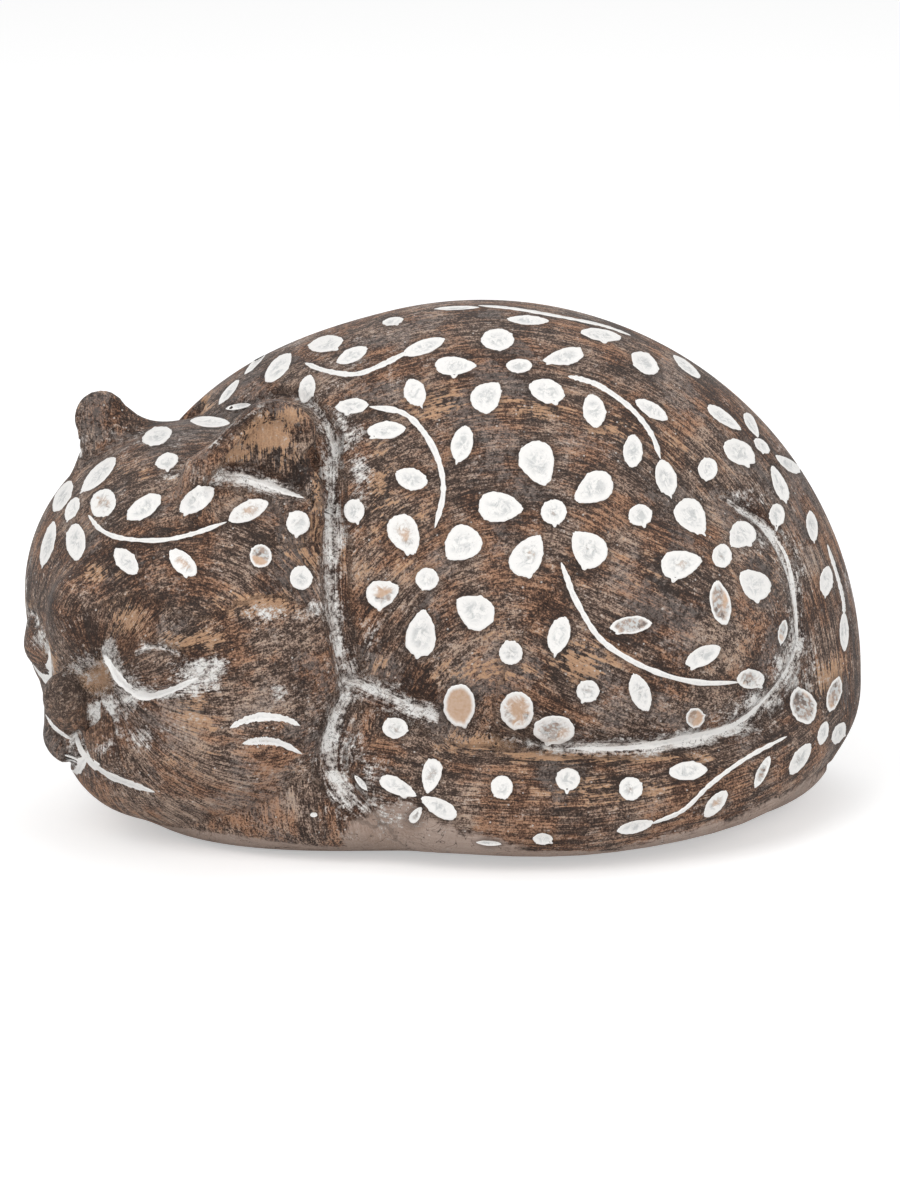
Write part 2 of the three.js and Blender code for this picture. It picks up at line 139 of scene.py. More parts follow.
def merge(a, b, width):
    h = np.maximum(width - np.abs(a - b), 0) / width
    return np.minimum(a, b) - h * h * width / 4


def carve(a, b, width):
    return -merge(-a, b, width)


def egg(p, middle, radii, axes=WORLD_AXES, lower=None):
    off = (p - middle) @ np.asarray(axes).T
    size = np.broadcast_to(np.asarray(radii, float), off.shape)
    if lower is not None:
        size = size.copy()
        size[:, 2] = np.where(off[:, 2] < 0, lower, size[:, 2])
    near = np.sqrt(((off / size) ** 2).sum(1))
    slope = np.sqrt(((off / size**2) ** 2).sum(1))
    return near * (near - 1) / np.maximum(slope, 1e-9)


def flap_axes(root, tip, across):
    along = (tip - root) / np.linalg.norm(tip - root)
    wide = across - along * (across @ along)
    wide = wide / np.linalg.norm(wide)
    return wide, along, np.cross(wide, along)


def flap(p, root, tip, across, root_radius, tip_radius, flatness):
    wide, along, through = flap_axes(root, tip, across)
    reach = np.linalg.norm(tip - root) - tip_radius
    q = p - root
    up = q @ along
    t = np.clip(up / reach, 0, 1)
    off = np.sqrt((q @ wide) ** 2 + (up - t * reach) ** 2 + ((q @ through) * flatness) ** 2)
    return (off - (root_radius + (tip_radius - root_radius) * t)) / math.sqrt(flatness)


def smooth_line(points, steps):
    """Points at even shares along a smooth curve through the given ones."""
    points = np.asarray(points, float)
    first = 2 * points[0] - points[1]
    last = 2 * points[-1] - points[-2]
    padded = np.vstack((first, points, last))
    out = []
    for share in np.linspace(0, len(points) - 1, steps + 1):
        i = min(int(share), len(points) - 2)
        t = share - i
        a, b, c, d = padded[i : i + 4]
        out.append(
            b
            + 0.5 * t * (c - a)
            + t * t * (a - 2.5 * b + 2 * c - 0.5 * d)
            + t**3 * (1.5 * (b - c) + 0.5 * (d - a))
        )
    return np.array(out)


TAIL_STEPS = 28
TAIL_LINE = smooth_line(
    [
        on_torso(0.5, 0.5, 0), on_torso(0.83, 0.2, -0.04), on_torso(0.78, -0.35, -0.07),
        on_torso(0.6, -0.75, -0.13), on_torso(0.26, -0.98, -0.17), on_torso(-0.06, -0.99, -0.16),
        on_torso(-0.19, -0.9, -0.13),
    ],
    TAIL_STEPS,
)
TAIL_RADII = np.interp(
    np.linspace(0, 6, TAIL_STEPS + 1), range(7), [9, 10.5, 11, 11, 11, 11, 12.5]
)


def tail(p):
    """The tail's field, how far along it each point is, and the nearest place on its line."""
    least = np.full(len(p), np.inf)
    along = np.zeros(len(p))
    nearest = np.zeros_like(p)
    travelled = 0.0
    for i in range(TAIL_STEPS):
        a = TAIL_LINE[i + 1] - TAIL_LINE[i]
        q = p - TAIL_LINE[i]
        t = np.clip(q @ a / (a @ a), 0, 1)
        off = q - t[:, None] * a
        d = np.sqrt((off**2).sum(1)) - (TAIL_RADII[i] + (TAIL_RADII[i + 1] - TAIL_RADII[i]) * t)
        closer = d < least
        least = np.where(closer, d, least)
        along = np.where(closer, travelled + t * np.linalg.norm(a), along)
        nearest[closer] = (p - off)[closer]
        travelled += np.linalg.norm(a)
    return least, along, nearest


NEAR_EAR_ROOT = on_head(0.613, -0.071, 0.831)
NEAR_EAR_TIP = on_head(0.637, -0.433, 1.163)
EAR_WIDTH = np.array((1, 0.1, 0))
HAUNCH_MIDDLE = on_torso(0.27, -0.341, 0.185)
HAUNCH_RADII = (41.5, 35, 34)


def bare_head(p):
    skull = egg(p, HEAD_MIDDLE, HEAD_RADII, HEAD_AXES)
    cheek = egg(p, HEAD_MIDDLE + (3.1, -6, -19.1), (29.3, 30, 21.4))
    jaw = egg(p, on_head(0, 0.476, -0.53), (16, 20, 12), HEAD_AXES)
    return merge(merge(skull, cheek, 14), jaw, 12)


def ears(p):
    shape = (14, 7.4, 2.2)
    through = flap_axes(NEAR_EAR_ROOT, NEAR_EAR_TIP, EAR_WIDTH)[2] * 6.5
    near = flap(p, NEAR_EAR_ROOT, NEAR_EAR_TIP, EAR_WIDTH, *shape)
    cup_shape = [s * 0.78 for s in shape]
    cup = flap(p, NEAR_EAR_ROOT + through, NEAR_EAR_TIP + through, EAR_WIDTH, *cup_shape)
    far_root, far_tip = on_head(-0.364, -0.062, 0.724), on_head(-0.51, -0.103, 1.195)
    far = flap(p, far_root, far_tip, np.array((1, 0.35, 0)), 10.9, 5.1, 2.2)
    return carve(near, cup, 1.2), far


def head(p):
    d = bare_head(p)
    d = merge(d, egg(p, on_head(0, 0.886, 0.3), (6, 5, 12), HEAD_AXES), 8)
    pads = [egg(p, on_head(s * 0.15, 0.96, -0.256), (8.8, 8.8, 7.3), HEAD_AXES) for s in (1, -1)]
    d = merge(d, merge(pads[0], pads[1], 0.8), 2.5)
    d = merge(d, egg(p, on_head(0, 1.102, 0.045), (5.2, 5.2, 6.24), HEAD_AXES), 0.8)
    near_lid = egg(p, on_head(0.352, 0.845, 0.15), (9, 5, 5.5), HEAD_AXES)
    far_lid = egg(p, on_head(-0.356, 0.814, 0.052), (8, 4.8, 5), HEAD_AXES)
    d = merge(merge(d, near_lid, 2.5), far_lid, 2.5)
    near, far = ears(p)
    return merge(merge(d, near, 3), far, 3)


def trunk(p):
    torso = egg(p, TORSO_MIDDLE, TORSO_RADII, lower=40)
    shoulders = egg(p, on_torso(-0.36, 0, 0.253), (42, 39, 43))
    belly = egg(p, on_torso(-0.06, -0.18, -0.2), (66, 43, 16))
    chest = egg(p, on_torso(-0.47, -0.545, -0.144), (32, 22, 22))
    front = merge(merge(merge(torso, shoulders, 10), belly, 10), chest, 8)
    haunch = egg(p, HAUNCH_MIDDLE, HAUNCH_RADII)
    fade = (p - HAUNCH_MIDDLE) @ np.array((-0.75, 0, 0.66)) / 25
    return merge(front, haunch, 2 + 14 * ease(fade))


def skin(p):
    d = merge(merge(trunk(p), tail(p)[0], 2), head(p), 2)
    return -merge(-d, p[:, 2] - UNDERSIDE + 1.2, 8)


def standing_skin(p):
    """The skin with its flat underside. Takes places in the frame's own millimetres."""
    q = p - FORM_OFFSET
    return np.maximum(skin(q), UNDERSIDE - q[:, 2])


def slope_of(field, p, step=0.08):
    """The field's value and slope, from four probes round each point."""
    probes = np.array(((1, -1, -1), (-1, -1, 1), (-1, 1, -1), (1, 1, 1)), float)
    values = [field(p + step * probe) for probe in probes]
    slope = sum(v[:, None] * probe for v, probe in zip(values, probes)) / (4 * step)
    return sum(values) / 4, slope


def drawn_onto(field, p, rounds):
    for _ in range(rounds):
        value, slope = slope_of(field, p)
        p = p - slope * (value / np.maximum((slope**2).sum(1), 0.2))[:, None]
    return p


# Views: the carving is laid out on planes that face the figurine


class Layout:
    """A drawing plane in front of the figurine: u runs right and v up, in millimetres."""

    def __init__(self, azimuth, elevation, distance=CAMERA_DISTANCE, aim=AIM):
        a, e = math.radians(azimuth), math.radians(elevation)
        self.right = np.array((math.cos(a), math.sin(a), 0))
        self.back = np.array(
            (math.sin(a) * math.cos(e), -math.cos(a) * math.cos(e), math.sin(e))
        )
        self.up = np.cross(self.back, self.right)
        self.aim = np.asarray(aim, float)
        self.distance = distance
        self.eye = self.aim + self.back * distance
        self.turned = False

    def mirrored(self, middle, across):
        """The same layout seen in a mirror that stands at a place and faces across."""
        other = Layout(0, 0, self.distance, self.aim)
        other.aim = self.aim - 2 * ((self.aim - middle) @ across) * across
        for name in ("right", "up", "back"):
            way = getattr(self, name)
            setattr(other, name, way - 2 * (way @ across) * across)
        other.eye = other.aim + other.back * self.distance
        other.turned = True
        return other

    def flat(self, p):
        q = p - self.aim
        scale = self.distance / (self.distance - q @ self.back)
        return np.stack(((q @ self.right) * scale, (q @ self.up) * scale), 1)

    def rays(self, uv):
        away = uv[:, :1] * self.right + uv[:, 1:] * self.up - self.back * self.distance
        return away / np.sqrt((away**2).sum(1))[:, None]


FRONT = Layout(0, CAMERA_HEIGHT)
REAR = Layout(180, 25)
RIGHT_END = Layout(90, 20)
# The far half of the head repeats the near half in the mirror of the head's middle.
FAR_SIDE = FRONT.mirrored(HEAD_MIDDLE + FORM_OFFSET, SIDEWAYS)
LAYOUTS = {"front": FRONT, "rear": REAR, "right": RIGHT_END, "far": FAR_SIDE}
# How far before a point, in millimetres, a ray may meet the surface and still count as free.
STOP_SHORT = 0.6


class Skin:
    """The figurine's finished surface, onto which the filled shapes are laid."""

    def __init__(self, obj):
        mesh = obj.data
        self.points = points_of(mesh) / MM
        self.normals = normals_of(mesh)
        mesh.calc_loop_triangles()
        self.triangles = triples(mesh.loop_triangles, "vertices", int)
        self.tree = BVHTree.FromPolygons(self.points.tolist(), self.triangles.tolist())

    def cast(self, view, uv):
        """Where each ray through the drawing plane meets the surface, and the normal there."""
        eye = Vector(view.eye)
        near = np.zeros((len(uv), 3))
        index = np.zeros(len(uv), int)
        last = None
        for i, ray in enumerate(view.rays(uv)):
            hit = self.tree.ray_cast(eye, Vector(ray))
            if hit[0] is None:
                guess = view.aim + view.right * uv[i, 0] + view.up * uv[i, 1]
                hit = self.tree.find_nearest(Vector(guess) if last is None else last)
            last = hit[0]
            near[i] = hit[0]
            index[i] = hit[2]
        ring = self.triangles[index]
        a, b, c = (self.points[ring[:, k]] for k in range(3))
        ab, ac, ap = b - a, c - a, near - a
        d00, d01, d11 = (ab * ab).sum(1), (ab * ac).sum(1), (ac * ac).sum(1)
        d20, d21 = (ap * ab).sum(1), (ap * ac).sum(1)
        span = np.maximum(d00 * d11 - d01 * d01, 1e-12)
        v = ((d11 * d20 - d01 * d21) / span)[:, None]
        w = ((d00 * d21 - d01 * d20) / span)[:, None]
        normal = sum(
            share * self.normals[ring[:, k]] for k, share in enumerate((1 - v - w, v, w))
        )
        return near, normal / np.sqrt((normal**2).sum(1))[:, None]

    def seen(self, view, points):
        """Which points the view sees, with nothing of the figurine in front of them."""
        eye = Vector(view.eye)
        shown = np.zeros(len(points), bool)
        for i, point in enumerate(points):
            away = Vector(point) - eye
            reach = away.length
            hit = self.tree.ray_cast(eye, away / reach, reach - STOP_SHORT)
            shown[i] = hit[0] is None
        return shown


# What is carved and painted. Places are millimetres on a layout's plane, u to the right
# and v up from what the camera looks at.

# Grooves on the front: the line, half width and depth, how white it is along its length,
# and whether it runs out at its two ends. A depth below nought stands up.
FRONT_GROOVES = {
    "haunch": (
        (
            (48.5, 20.8), (54.2, 18.3), (59.2, 15.1), (63.0, 10.1), (65.5, 3.6), (66.6, -5.0),
            (66.8, -8.8), (63.5, -15.8), (56.5, -23.1), (48.3, -26.3), (37.2, -28.2), (23.5, -28.4),
            (15.3, -27.5), (8.0, -26.0), (1.7, -25.2),
        ),
        1.15, 1.1, (0.7, 0.9, 0.95, 0.95, 1.0, 1.05, 1.0, 0.85, 0.3, 0.1), (1, 1),
    ),
    "neck": (
        (
            (-22.9, 36.5), (-22.7, 20.0), (-21.9, 0.0), (-20.6, -9.0), (-18.9, -16.2),
            (-21.0, -22.0), (-22.9, -27.7), (-22.3, -33.4), (-19.1, -38.2), (-11.0, -46.0),
        ),
        2.0, 1.5, (0.6, 0.66, 0.6, 0.62, 0.62, 0.84, 0.7, 0.75, 0.6, 0.45), (1, 1),
    ),
    "tail tip": (
        ((-19.4, -15.8), (-14.3, -17.6), (-9.5, -19.7), (-4.8, -21.6), (-1.0, -22.8)),
        1.7, 0.9, (0.85, 0.8, 0.75, 0.8), (0, 1),
    ),
    "closed eye": (
        (
            (-66.4, -9.4), (-65.3, -11.8), (-62.6, -16.0), (-58.2, -18.5), (-52.9, -17.2),
            (-49.6, -15.7),
        ),
        0.8, 1.0, (0.3, 0.2), (1, 1),
    ),
    # On the brow the white is painted highlight, for the glint on top of the lid.
    "brow": (
        ((-60.6, -10.4), (-56.7, -8.9), (-53.4, -9.7), (-50.0, -11.2)),
        0.8, 0.4, (0.9, 0.6, 0.2), (1, 1),
    ),
    "mouth": (
        ((-71.4, -25.0), (-69.7, -29.6), (-65.8, -33.0), (-61.5, -34.9), (-56.0, -36.8)),
        1.4, 0.6, (0.2, 0.2), (0, 1),
    ),
    "nose": (
        (
            (-75.6, -14.4), (-73.6, -14.2), (-71.6, -15.4), (-70.2, -17.6), (-69.7, -20.2),
            (-70.2, -23.4), (-71.6, -26.0), (-74.0, -26.0), (-76.4, -23.6),
        ),
        0.6, 0.5, (0.3, 0.3, 0.2, 0.4, 0.6), (1, 1),
    ),
    "lip": (((-72.2, -26.2), (-72.8, -29.4), (-73.0, -33.4)), 0.6, 0.7, (0.85, 0.5), (0, 1)),
    "cheek upper": (
        ((-44.7, -26.1), (-41.0, -23.9), (-35.9, -22.3), (-31.5, -22.7), (-28.8, -23.9)),
        0.8, 0.6, (0.1, 0.1), (1, 1),
    ),
    "cheek lower": (
        ((-43.9, -28.8), (-40.1, -27.5), (-35.9, -26.9), (-31.9, -27.5), (-28.6, -29.0)),
        0.8, 0.6, (0.1, 0.1), (1, 1),
    ),
    "ear root": (
        ((-47.0, 21.4), (-43.0, 23.0), (-39.7, 23.1), (-35.1, 21.8), (-28.1, 19.4)),
        1.1, 0.5, (0.45, 0.9, 1.0, 0.85, 0.4), (1, 1),
    ),
    "behind the ear": (
        (
            (-43.5, 34.6), (-39.0, 37.8), (-34.6, 39.4), (-30.6, 39.5), (-26.8, 37.8),
            (-24.0, 34.2), (-22.6, 30.0), (-22.0, 25.0),
        ),
        1.2, 1.5, (0.1, 0.2, 0.25, 0.3, 0.45, 0.7, 0.9, 0.8), (1, 1),
    ),
    # The ear's rim stands up, and the white along it is painted highlight on the ridge.
    "ear rim": (
        (
            (-49.5, 24.6), (-45.2, 28.9), (-40.6, 33.2), (-35.5, 36.6), (-31.0, 36.9),
            (-27.8, 35.0), (-25.4, 31.0), (-24.2, 26.0), (-23.8, 20.0), (-24.2, 13.5),
        ),
        1.15, -0.8, (0.2, 0.38, 0.4, 0.25, 0.0, 0.0, 0.2, 0.45, 0.5, 0.35), (1, 1),
    ),
    # Along the far profile the white is partly the far brow's own, seen edge on, and partly painted
    # highlight on the head's edge.
    "far profile": (
        ((-79.6, 9.3), (-80.8, 4.0), (-80.6, -2.4), (-79.4, -5.6)),
        0.7, 0.0, (0.3, 0.45, 0.6, 0.6), (1, 1),
    ),
    "foot left": (
        ((-19.0, -42.0), (-13.0, -39.4), (-8.0, -38.6), (-2.0, -42.6), (7.0, -45.4), (18.0, -48.2)),
        0.7, 0.5, (0.0, 0.0), (1, 1),
    ),
    "foot right": (
        ((31.0, -47.6), (42.0, -44.6), (53.0, -41.6), (63.0, -37.4), (69.5, -33.8), (76.0, -28.4)),
        0.7, 0.5, (0.0, 0.0), (1, 1),
    ),
}

# Raised parts of the face: middle, half sizes, turn in degrees and height. One is the nose.
FRONT_SWELLS = (
    (-57.6, -13.7, 8.2, 4.9, -4, 1.3), (-73.7, -20.3, 3.7, 6.0, -8, 1.15),
    (-75.6, -28.4, 2.4, 4.6, 22, 0.7), (-36.5, -25.2, 7.5, 1.9, 4, 0.35),
)
NOSE_SWELL = 1

# The hollow of the ear: the line round it, its depth, how wide its slope is, and the middle and
# half size of the square that it lies in.
EAR_HOLLOW = (
    (-45.6, 23.6), (-41.6, 29.4), (-38.0, 33.6), (-34.5, 35.6), (-30.4, 35.4), (-26.9, 32.4),
    (-25.0, 27.4), (-24.6, 19.8), (-26.0, 15.5), (-28.4, 18.6), (-33.3, 20.8), (-39.1, 23.0),
)
EAR_HOLLOW_DEPTH = 2.8
EAR_HOLLOW_SLOPE = 1.5
EAR_PLACE = ((-35, 26), 15)

# How far the body stays inside the frame's box, so that what lies on it does too.
BOX_MARGIN = 0.12

# The smooth band round the foot, where it shows from the front, and how high up it is looked for.
FOOT_TOP = -27
FRONT_FOOT = (
    (
        (-19.6, -42.4), (-13.0, -39.4), (-8.0, -38.4), (-2.0, -42.4), (7.0, -45.2), (18.0, -48.4),
        (18.0, -54.0), (-22.0, -54.0),
    ),
    (
        (30.0, -48.2), (42.0, -44.6), (53.0, -41.6), (63.0, -37.2), (69.5, -33.6), (76.5, -28.2),
        (84.0, -34.0), (60.0, -54.0), (30.0, -54.0),
    ),
)

# Soft white on the front: middle, half sizes and strength. Most of it is wash; the last four lay
# a thin grey veil along the top and the right-hand edge.
FRONT_WASHES = (
    (-65.2, -10.2, 1.8, 2.2, 1.0), (-47.2, -13.8, 4.8, 3.0, 1.0), (-44.2, -12.6, 2.4, 2.4, 0.95),
    (-49.6, -17.4, 3.4, 2.4, 0.6), (-66.4, -21.2, 4.4, 5.8, 0.92), (-68.8, -12.0, 3.4, 2.8, 0.78),
    (-78.4, -7.4, 1.4, 2.4, 0.8), (-63.4, -14.0, 1.7, 3.2, 0.9), (-59.6, -17.9, 3.6, 1.5, 0.85),
    (-54.4, -18.2, 3.6, 1.0, 0.7), (-62.0, -18.0, 3.0, 3.6, 0.85), (-69.0, -11.2, 3.0, 2.4, 0.55),
    (-58.6, -25.2, 6.5, 3.2, 0.62), (-66.0, -27.5, 3.4, 2.0, 0.6), (-76.4, -13.6, 1.0, 2.2, 0.75),
    (-34.0, -3.0, 7.6, 2.2, 0.55), (-26.2, -1.4, 3.6, 1.6, 0.72), (-19.8, 32.5, 3.4, 7.0, 0.66),
    (-17.4, 24.0, 2.4, 6.0, 0.6), (-21.0, 14.0, 2.2, 6.0, 0.55), (-33.1, -17.4, 1.5, 1.7, 0.85),
    (66.0, -14.0, 4.6, 6.0, 0.5), (32.0, -27.6, 12.0, 1.5, 0.72), (45.0, -26.0, 9.0, 1.7, 0.78),
    (55.0, -22.4, 5.0, 2.4, 0.7), (66.0, -8.0, 1.8, 6.0, 0.8), (60.0, 12.6, 3.6, 3.6, 0.6),
    (64.4, -12.6, 2.4, 5.5, 0.95), (60.0, -19.2, 4.4, 2.2, 0.9), (58.4, -24.6, 4.0, 1.6, 0.6),
    (65.6, 4.0, 1.8, 7.0, 0.7), (-19.5, -30.5, 3.2, 6.0, 0.6), (-16.5, -36.0, 5.0, 4.6, 0.6),
    (-12.0, -41.0, 5.0, 3.0, 0.4), (56.0, 19.4, 4.8, 2.4, 0.62), (-40.0, 22.6, 9.0, 2.2, 0.5),
    (-53.5, 24.5, 4.0, 2.0, 0.35), (-33.0, 49.5, 6.0, 2.0, 0.4), (-15.0, -8.0, 3.0, 7.0, 0.3),
    # A thin grey veil along the top and the right-hand edge.
    (-60.0, 30.5, 10.0, 2.2, 0.3), (-19.5, 47.0, 9.0, 4.0, 0.32), (66.0, 32.0, 4.0, 10.0, 0.3),
    (76.5, 6.0, 2.4, 12.0, 0.3),
)

# Places where the brown stain is rubbed through to the tan resin.
FRONT_WORN = (
    (-36.0, -1.5, 11.0, 3.6, 1.0), (-67.2, -15.0, 3.8, 6.5, 1.25), (-48.5, -8.4, 11.0, 3.0, 0.75),
    (-48.4, -20.5, 4.0, 5.5, 0.85), (-35.2, 31.4, 5.6, 4.4, 1.35), (-33.0, 27.0, 5.0, 4.0, 0.7),
    (-31.2, 35.0, 5.0, 2.0, 1.1), (-40.0, 27.6, 4.0, 2.6, 0.9), (-25.2, 20.0, 1.6, 7.0, 1.0),
    (-29.5, 9.0, 6.0, 4.0, 0.7), (-25.6, 13.0, 1.6, 8.0, 0.9), (-20.4, 9.0, 1.4, 7.0, 0.8),
    (-62.0, -3.0, 4.5, 5.0, 0.65), (-67.0, 5.6, 6.0, 2.2, 0.7), (-56.0, 24.0, 10.0, 2.0, 0.5),
    (-3.0, 37.6, 7.0, 4.0, 0.95), (15.5, 36.6, 9.0, 3.0, 0.85), (30.0, 33.0, 9.0, 3.0, 0.75),
    (44.0, 29.0, 6.0, 4.0, 0.5), (-8.0, 13.0, 6.0, 9.0, 0.75), (-13.0, 22.0, 3.4, 12.0, 0.75),
    (-16.0, 4.0, 3.0, 9.0, 0.55), (25.0, -12.0, 8.0, 5.0, 1.0), (8.0, -13.5, 14.0, 3.0, 0.7),
    (27.0, -29.8, 26.0, 1.8, 1.0), (6.0, -27.6, 9.0, 2.6, 0.95), (72.4, -15.0, 4.0, 4.4, 1.0),
    (-44.5, -29.8, 3.6, 1.4, 0.9), (-45.5, -24.4, 3.0, 1.4, 0.6), (-50.0, -31.0, 12.0, 5.0, 0.5),
    (30.0, -36.0, 30.0, 4.0, 0.6), (36.0, 6.0, 12.0, 5.0, 0.5), (8.0, -4.0, 7.0, 5.0, 0.5),
    (-14.0, -12.0, 4.0, 4.0, 0.5), (52.0, 20.0, 4.0, 6.0, 0.5), (60.0, 5.0, 3.0, 9.0, 0.45),
)

# Where the surface is painted lighter (above nought) or darker than elsewhere: stain that lies
# unevenly, painted shade on the left of the head and in the ear, and painted light along the
# underside of the jaw, for the light bounced up from the floor.
FRONT_STAIN_AND_PAINTED_LIGHT = (
    (-70.0, -3.0, 6.0, 7.0, -0.16), (-56.0, -1.5, 12.0, 4.5, -0.2), (-72.0, 4.0, 5.0, 9.0, -0.1),
    (-45.0, -40.0, 22.0, 4.0, 0.22), (-32.0, -36.0, 9.0, 7.0, 0.12), (-51.0, -24.0, 8.0, 5.0, 0.1),
    (-64.0, -30.0, 5.0, 4.0, -0.2), (-24.5, -24.0, 4.0, 5.0, -0.18), (2.0, -12.0, 8.0, 6.0, 0.12),
    (-11.0, 25.0, 7.0, 12.0, 0.1), (13.0, 29.0, 5.0, 5.0, -0.16), (40.0, 4.0, 6.0, 5.0, -0.12),
    (46.0, -16.0, 10.0, 4.0, -0.14), (8.0, 52.0, 22.0, 4.0, 0.06), (-8.0, -15.0, 8.0, 4.0, -0.1),
    (-28.5, 26.0, 4.0, 5.5, -0.2), (60.0, -20.0, 5.0, 4.0, -0.16),
)

# Leaves: middle, length, width, turn in degrees, and the share of the white that is lost.
FRONT_LEAVES = (
    (-55.9, 31.3, 6.1, 3.4, 20), (-54.0, 26.5, 4.6, 3.1, 20), (-67.0, 24.0, 9.2, 3.1, 45),
    (-73.9, 19.8, 6.9, 2.7, 60), (-72.1, 17.4, 5.0, 2.3, 65), (-76.7, 10.7, 9.2, 2.3, 75),
    (-71.4, 11.1, 7.3, 3.8, 92), (-66.2, 18.5, 5.9, 4.8, 60, 0.35), (-58.4, 17.7, 8.0, 3.8, 35),
    (-48.3, 19.1, 8.0, 4.2, 35), (-38.5, 17.0, 8.4, 3.8, 25, 0.25), (-61.8, 7.4, 6.5, 3.6, -50),
    (-51.0, 7.1, 6.9, 3.8, -45, 0.3), (-45.8, 34.0, 7.6, 2.1, -3), (-32.8, 44.3, 7.4, 3.2, 48),
    (-42.2, 39.7, 6.0, 1.5, 50), (-37.0, 45.4, 6.5, 1.1, 47), (-23.7, 48.9, 6.9, 3.1, 12),
    (-18.7, 46.7, 6.5, 2.7, 25), (-10.9, 53.2, 4.2, 1.5, 10), (-5.0, 48.3, 8.8, 2.7, 20),
    (-27.3, 40.3, 5.6, 3.1, 75), (-18.7, 37.0, 6.5, 2.9, 5), (-12.2, 32.4, 7.6, 3.4, 4),
    (-7.4, 23.1, 6.5, 4.2, -18), (-40.4, 36.9, 5.0, 1.1, 10), (41.2, 23.3, 7.3, 4.0, -75),
    (38.5, 36.3, 7.3, 2.7, -32), (34.9, 28.4, 6.5, 3.8, 88), (27.5, 36.1, 6.6, 4.4, -80),
    (2.3, 29.8, 7.3, 4.2, 78), (14.9, 53.4, 8.2, 1.7, -3), (1.3, 55.7, 8.6, 0.7, 2),
    (28.8, 50.6, 8.0, 2.3, -9), (37.2, 45.2, 6.2, 3.6, -35), (45.2, 44.5, 6.9, 1.7, -40),
    (-6.7, 39.6, 5.6, 4.2, -65), (18.5, 39.9, 7.2, 4.6, -18), (55.2, 28.2, 7.0, 4.4, -32),
    (59.5, 29.4, 3.9, 2.0, -45), (69.1, 14.1, 6.1, 2.1, 98), (71.8, 3.6, 5.9, 2.5, 85),
    (75.2, -6.1, 7.6, 1.7, 91), (63.5, -6.1, 4.8, 1.7, 80, 0.5), (34.5, -4.8, 8.2, 3.4, 6, 0.6),
    (48.3, -10.7, 7.6, 3.6, 26), (20.8, -6.7, 7.6, 4.2, 73), (36.3, -17.7, 7.6, 4.0, -70, 0.1),
    (45.4, -32.6, 7.6, 3.6, 4), (35.3, -43.3, 7.4, 2.3, 14), (59.6, -32.8, 6.8, 1.9, 65, 0.45),
    (51.6, -0.6, 8.8, 4.0, -80, 0.75), (66.8, -30.3, 7.2, 2.7, 58, 0.1),
    (71.2, -25.4, 4.8, 1.9, 75), (74.2, -25.4, 4.6, 2.3, 65, 0.1),
    (67.4, -20.2, 7.4, 5.0, -70, 0.8), (73.3, -18.0, 7.0, 2.6, 75, 0.72),
    (50.7, -38.9, 6.6, 2.8, 50, 0.25), (-17.0, -34.9, 3.8, 1.1, -50), (7.4, -46.4, 5.0, 0.9, -4),
    (17.7, -45.6, 3.9, 2.2, 0),
)

# Flowers: the middle's place, size and white lost, then its petals, given as leaves are.
FRONT_FLOWERS = (
    (
        (-4.4, 4.0, 4.4, 4.4, 0.1),
        (
            (2.2, 10.6, 7.7, 6.9, 0.05), (-8.6, 12.4, 8.4, 5.9, 0.28), (-12.8, 1.3, 6.6, 5.3, 0.4),
            (-5.5, -6.3, 9.2, 5.9, 0.05), (4.6, -2.1, 8.0, 6.6),
        ),
    ),
    (
        (19.8, 16.8, 5.0, 4.9, 0.15),
        (
            (16.8, 26.0, 8.8, 6.9), (27.3, 21.2, 8.2, 5.9), (26.3, 9.9, 8.0, 6.6, 0.12),
            (14.9, 8.6, 8.8, 6.1, 0.12), (9.7, 17.7, 8.8, 5.9),
        ),
    ),
    (
        (51.9, 8.4, 3.8, 4.6, 0.1),
        (
            (46.2, 15.8, 7.8, 5.6), (55.6, 12.3, 5.7, 5.0), (58.0, 3.1, 6.9, 5.4),
            (44.2, 6.9, 8.0, 5.6, 0.12),
        ),
    ),
    (
        (13.2, 44.7, 5.0, 2.7),
        ((21.6, 46.4, 8.0, 3.2), (7.1, 38.9, 6.7, 5.6), (1.1, 44.7, 8.0, 3.6)),
    ),
    (
        (59.9, 29.2, 0.0, 0.0),
        (
            (52.4, 34.7, 8.0, 2.3), (57.6, 33.4, 5.3, 1.9), (64.4, 26.0, 5.7, 2.0),
            (62.8, 22.3, 7.4, 2.5),
        ),
    ),
    (
        (-4.6, -38.2, 1.2, 1.2),
        (
            (-9.9, -35.7, 7.8, 3.2), (-3.6, -33.6, 6.9, 3.8, 0.2), (-2.2, -39.5, 7.8, 3.4),
            (-6.5, -41.0, 3.6, 1.9, 0.2),
        ),
    ),
)

# Round dots: middle, width, height and white lost.
FRONT_DOTS = (
    (-29.0, 14.7, 4.6, 4.8, 0.05), (-36.1, 8.4, 4.3, 4.5, 0.72), (-28.4, 4.2, 4.4, 4.6, 0.05),
    (-18.3, 17.0, 4.0, 4.6), (36.3, 16.2, 4.6, 4.2), (49.2, 25.0, 3.8, 4.4), (62.4, 16.2, 3.0, 4.4),
    (11.6, -10.1, 4.6, 4.6, 0.1), (26.3, -17.4, 4.4, 4.3, 0.2), (46.8, -22.5, 3.6, 3.8, 0.9),
    (57.4, -15.1, 5.3, 3.8, 0.45), (-10.5, -24.4, 5.0, 4.0, 0.2), (9.9, -35.7, 4.3, 4.5),
    (22.5, -34.2, 4.7, 4.4), (34.5, -36.0, 4.6, 4.6, 0.15), (9.1, 49.7, 6.3, 4.2),
    (1.8, -20.1, 6.2, 8.2, 1.0), (12.8, -21.1, 6.5, 7.4, 0.55), (19.9, -24.8, 8.0, 5.6, 0.45),
    (-26.0, -41.0, 1.4, 0.9),
)

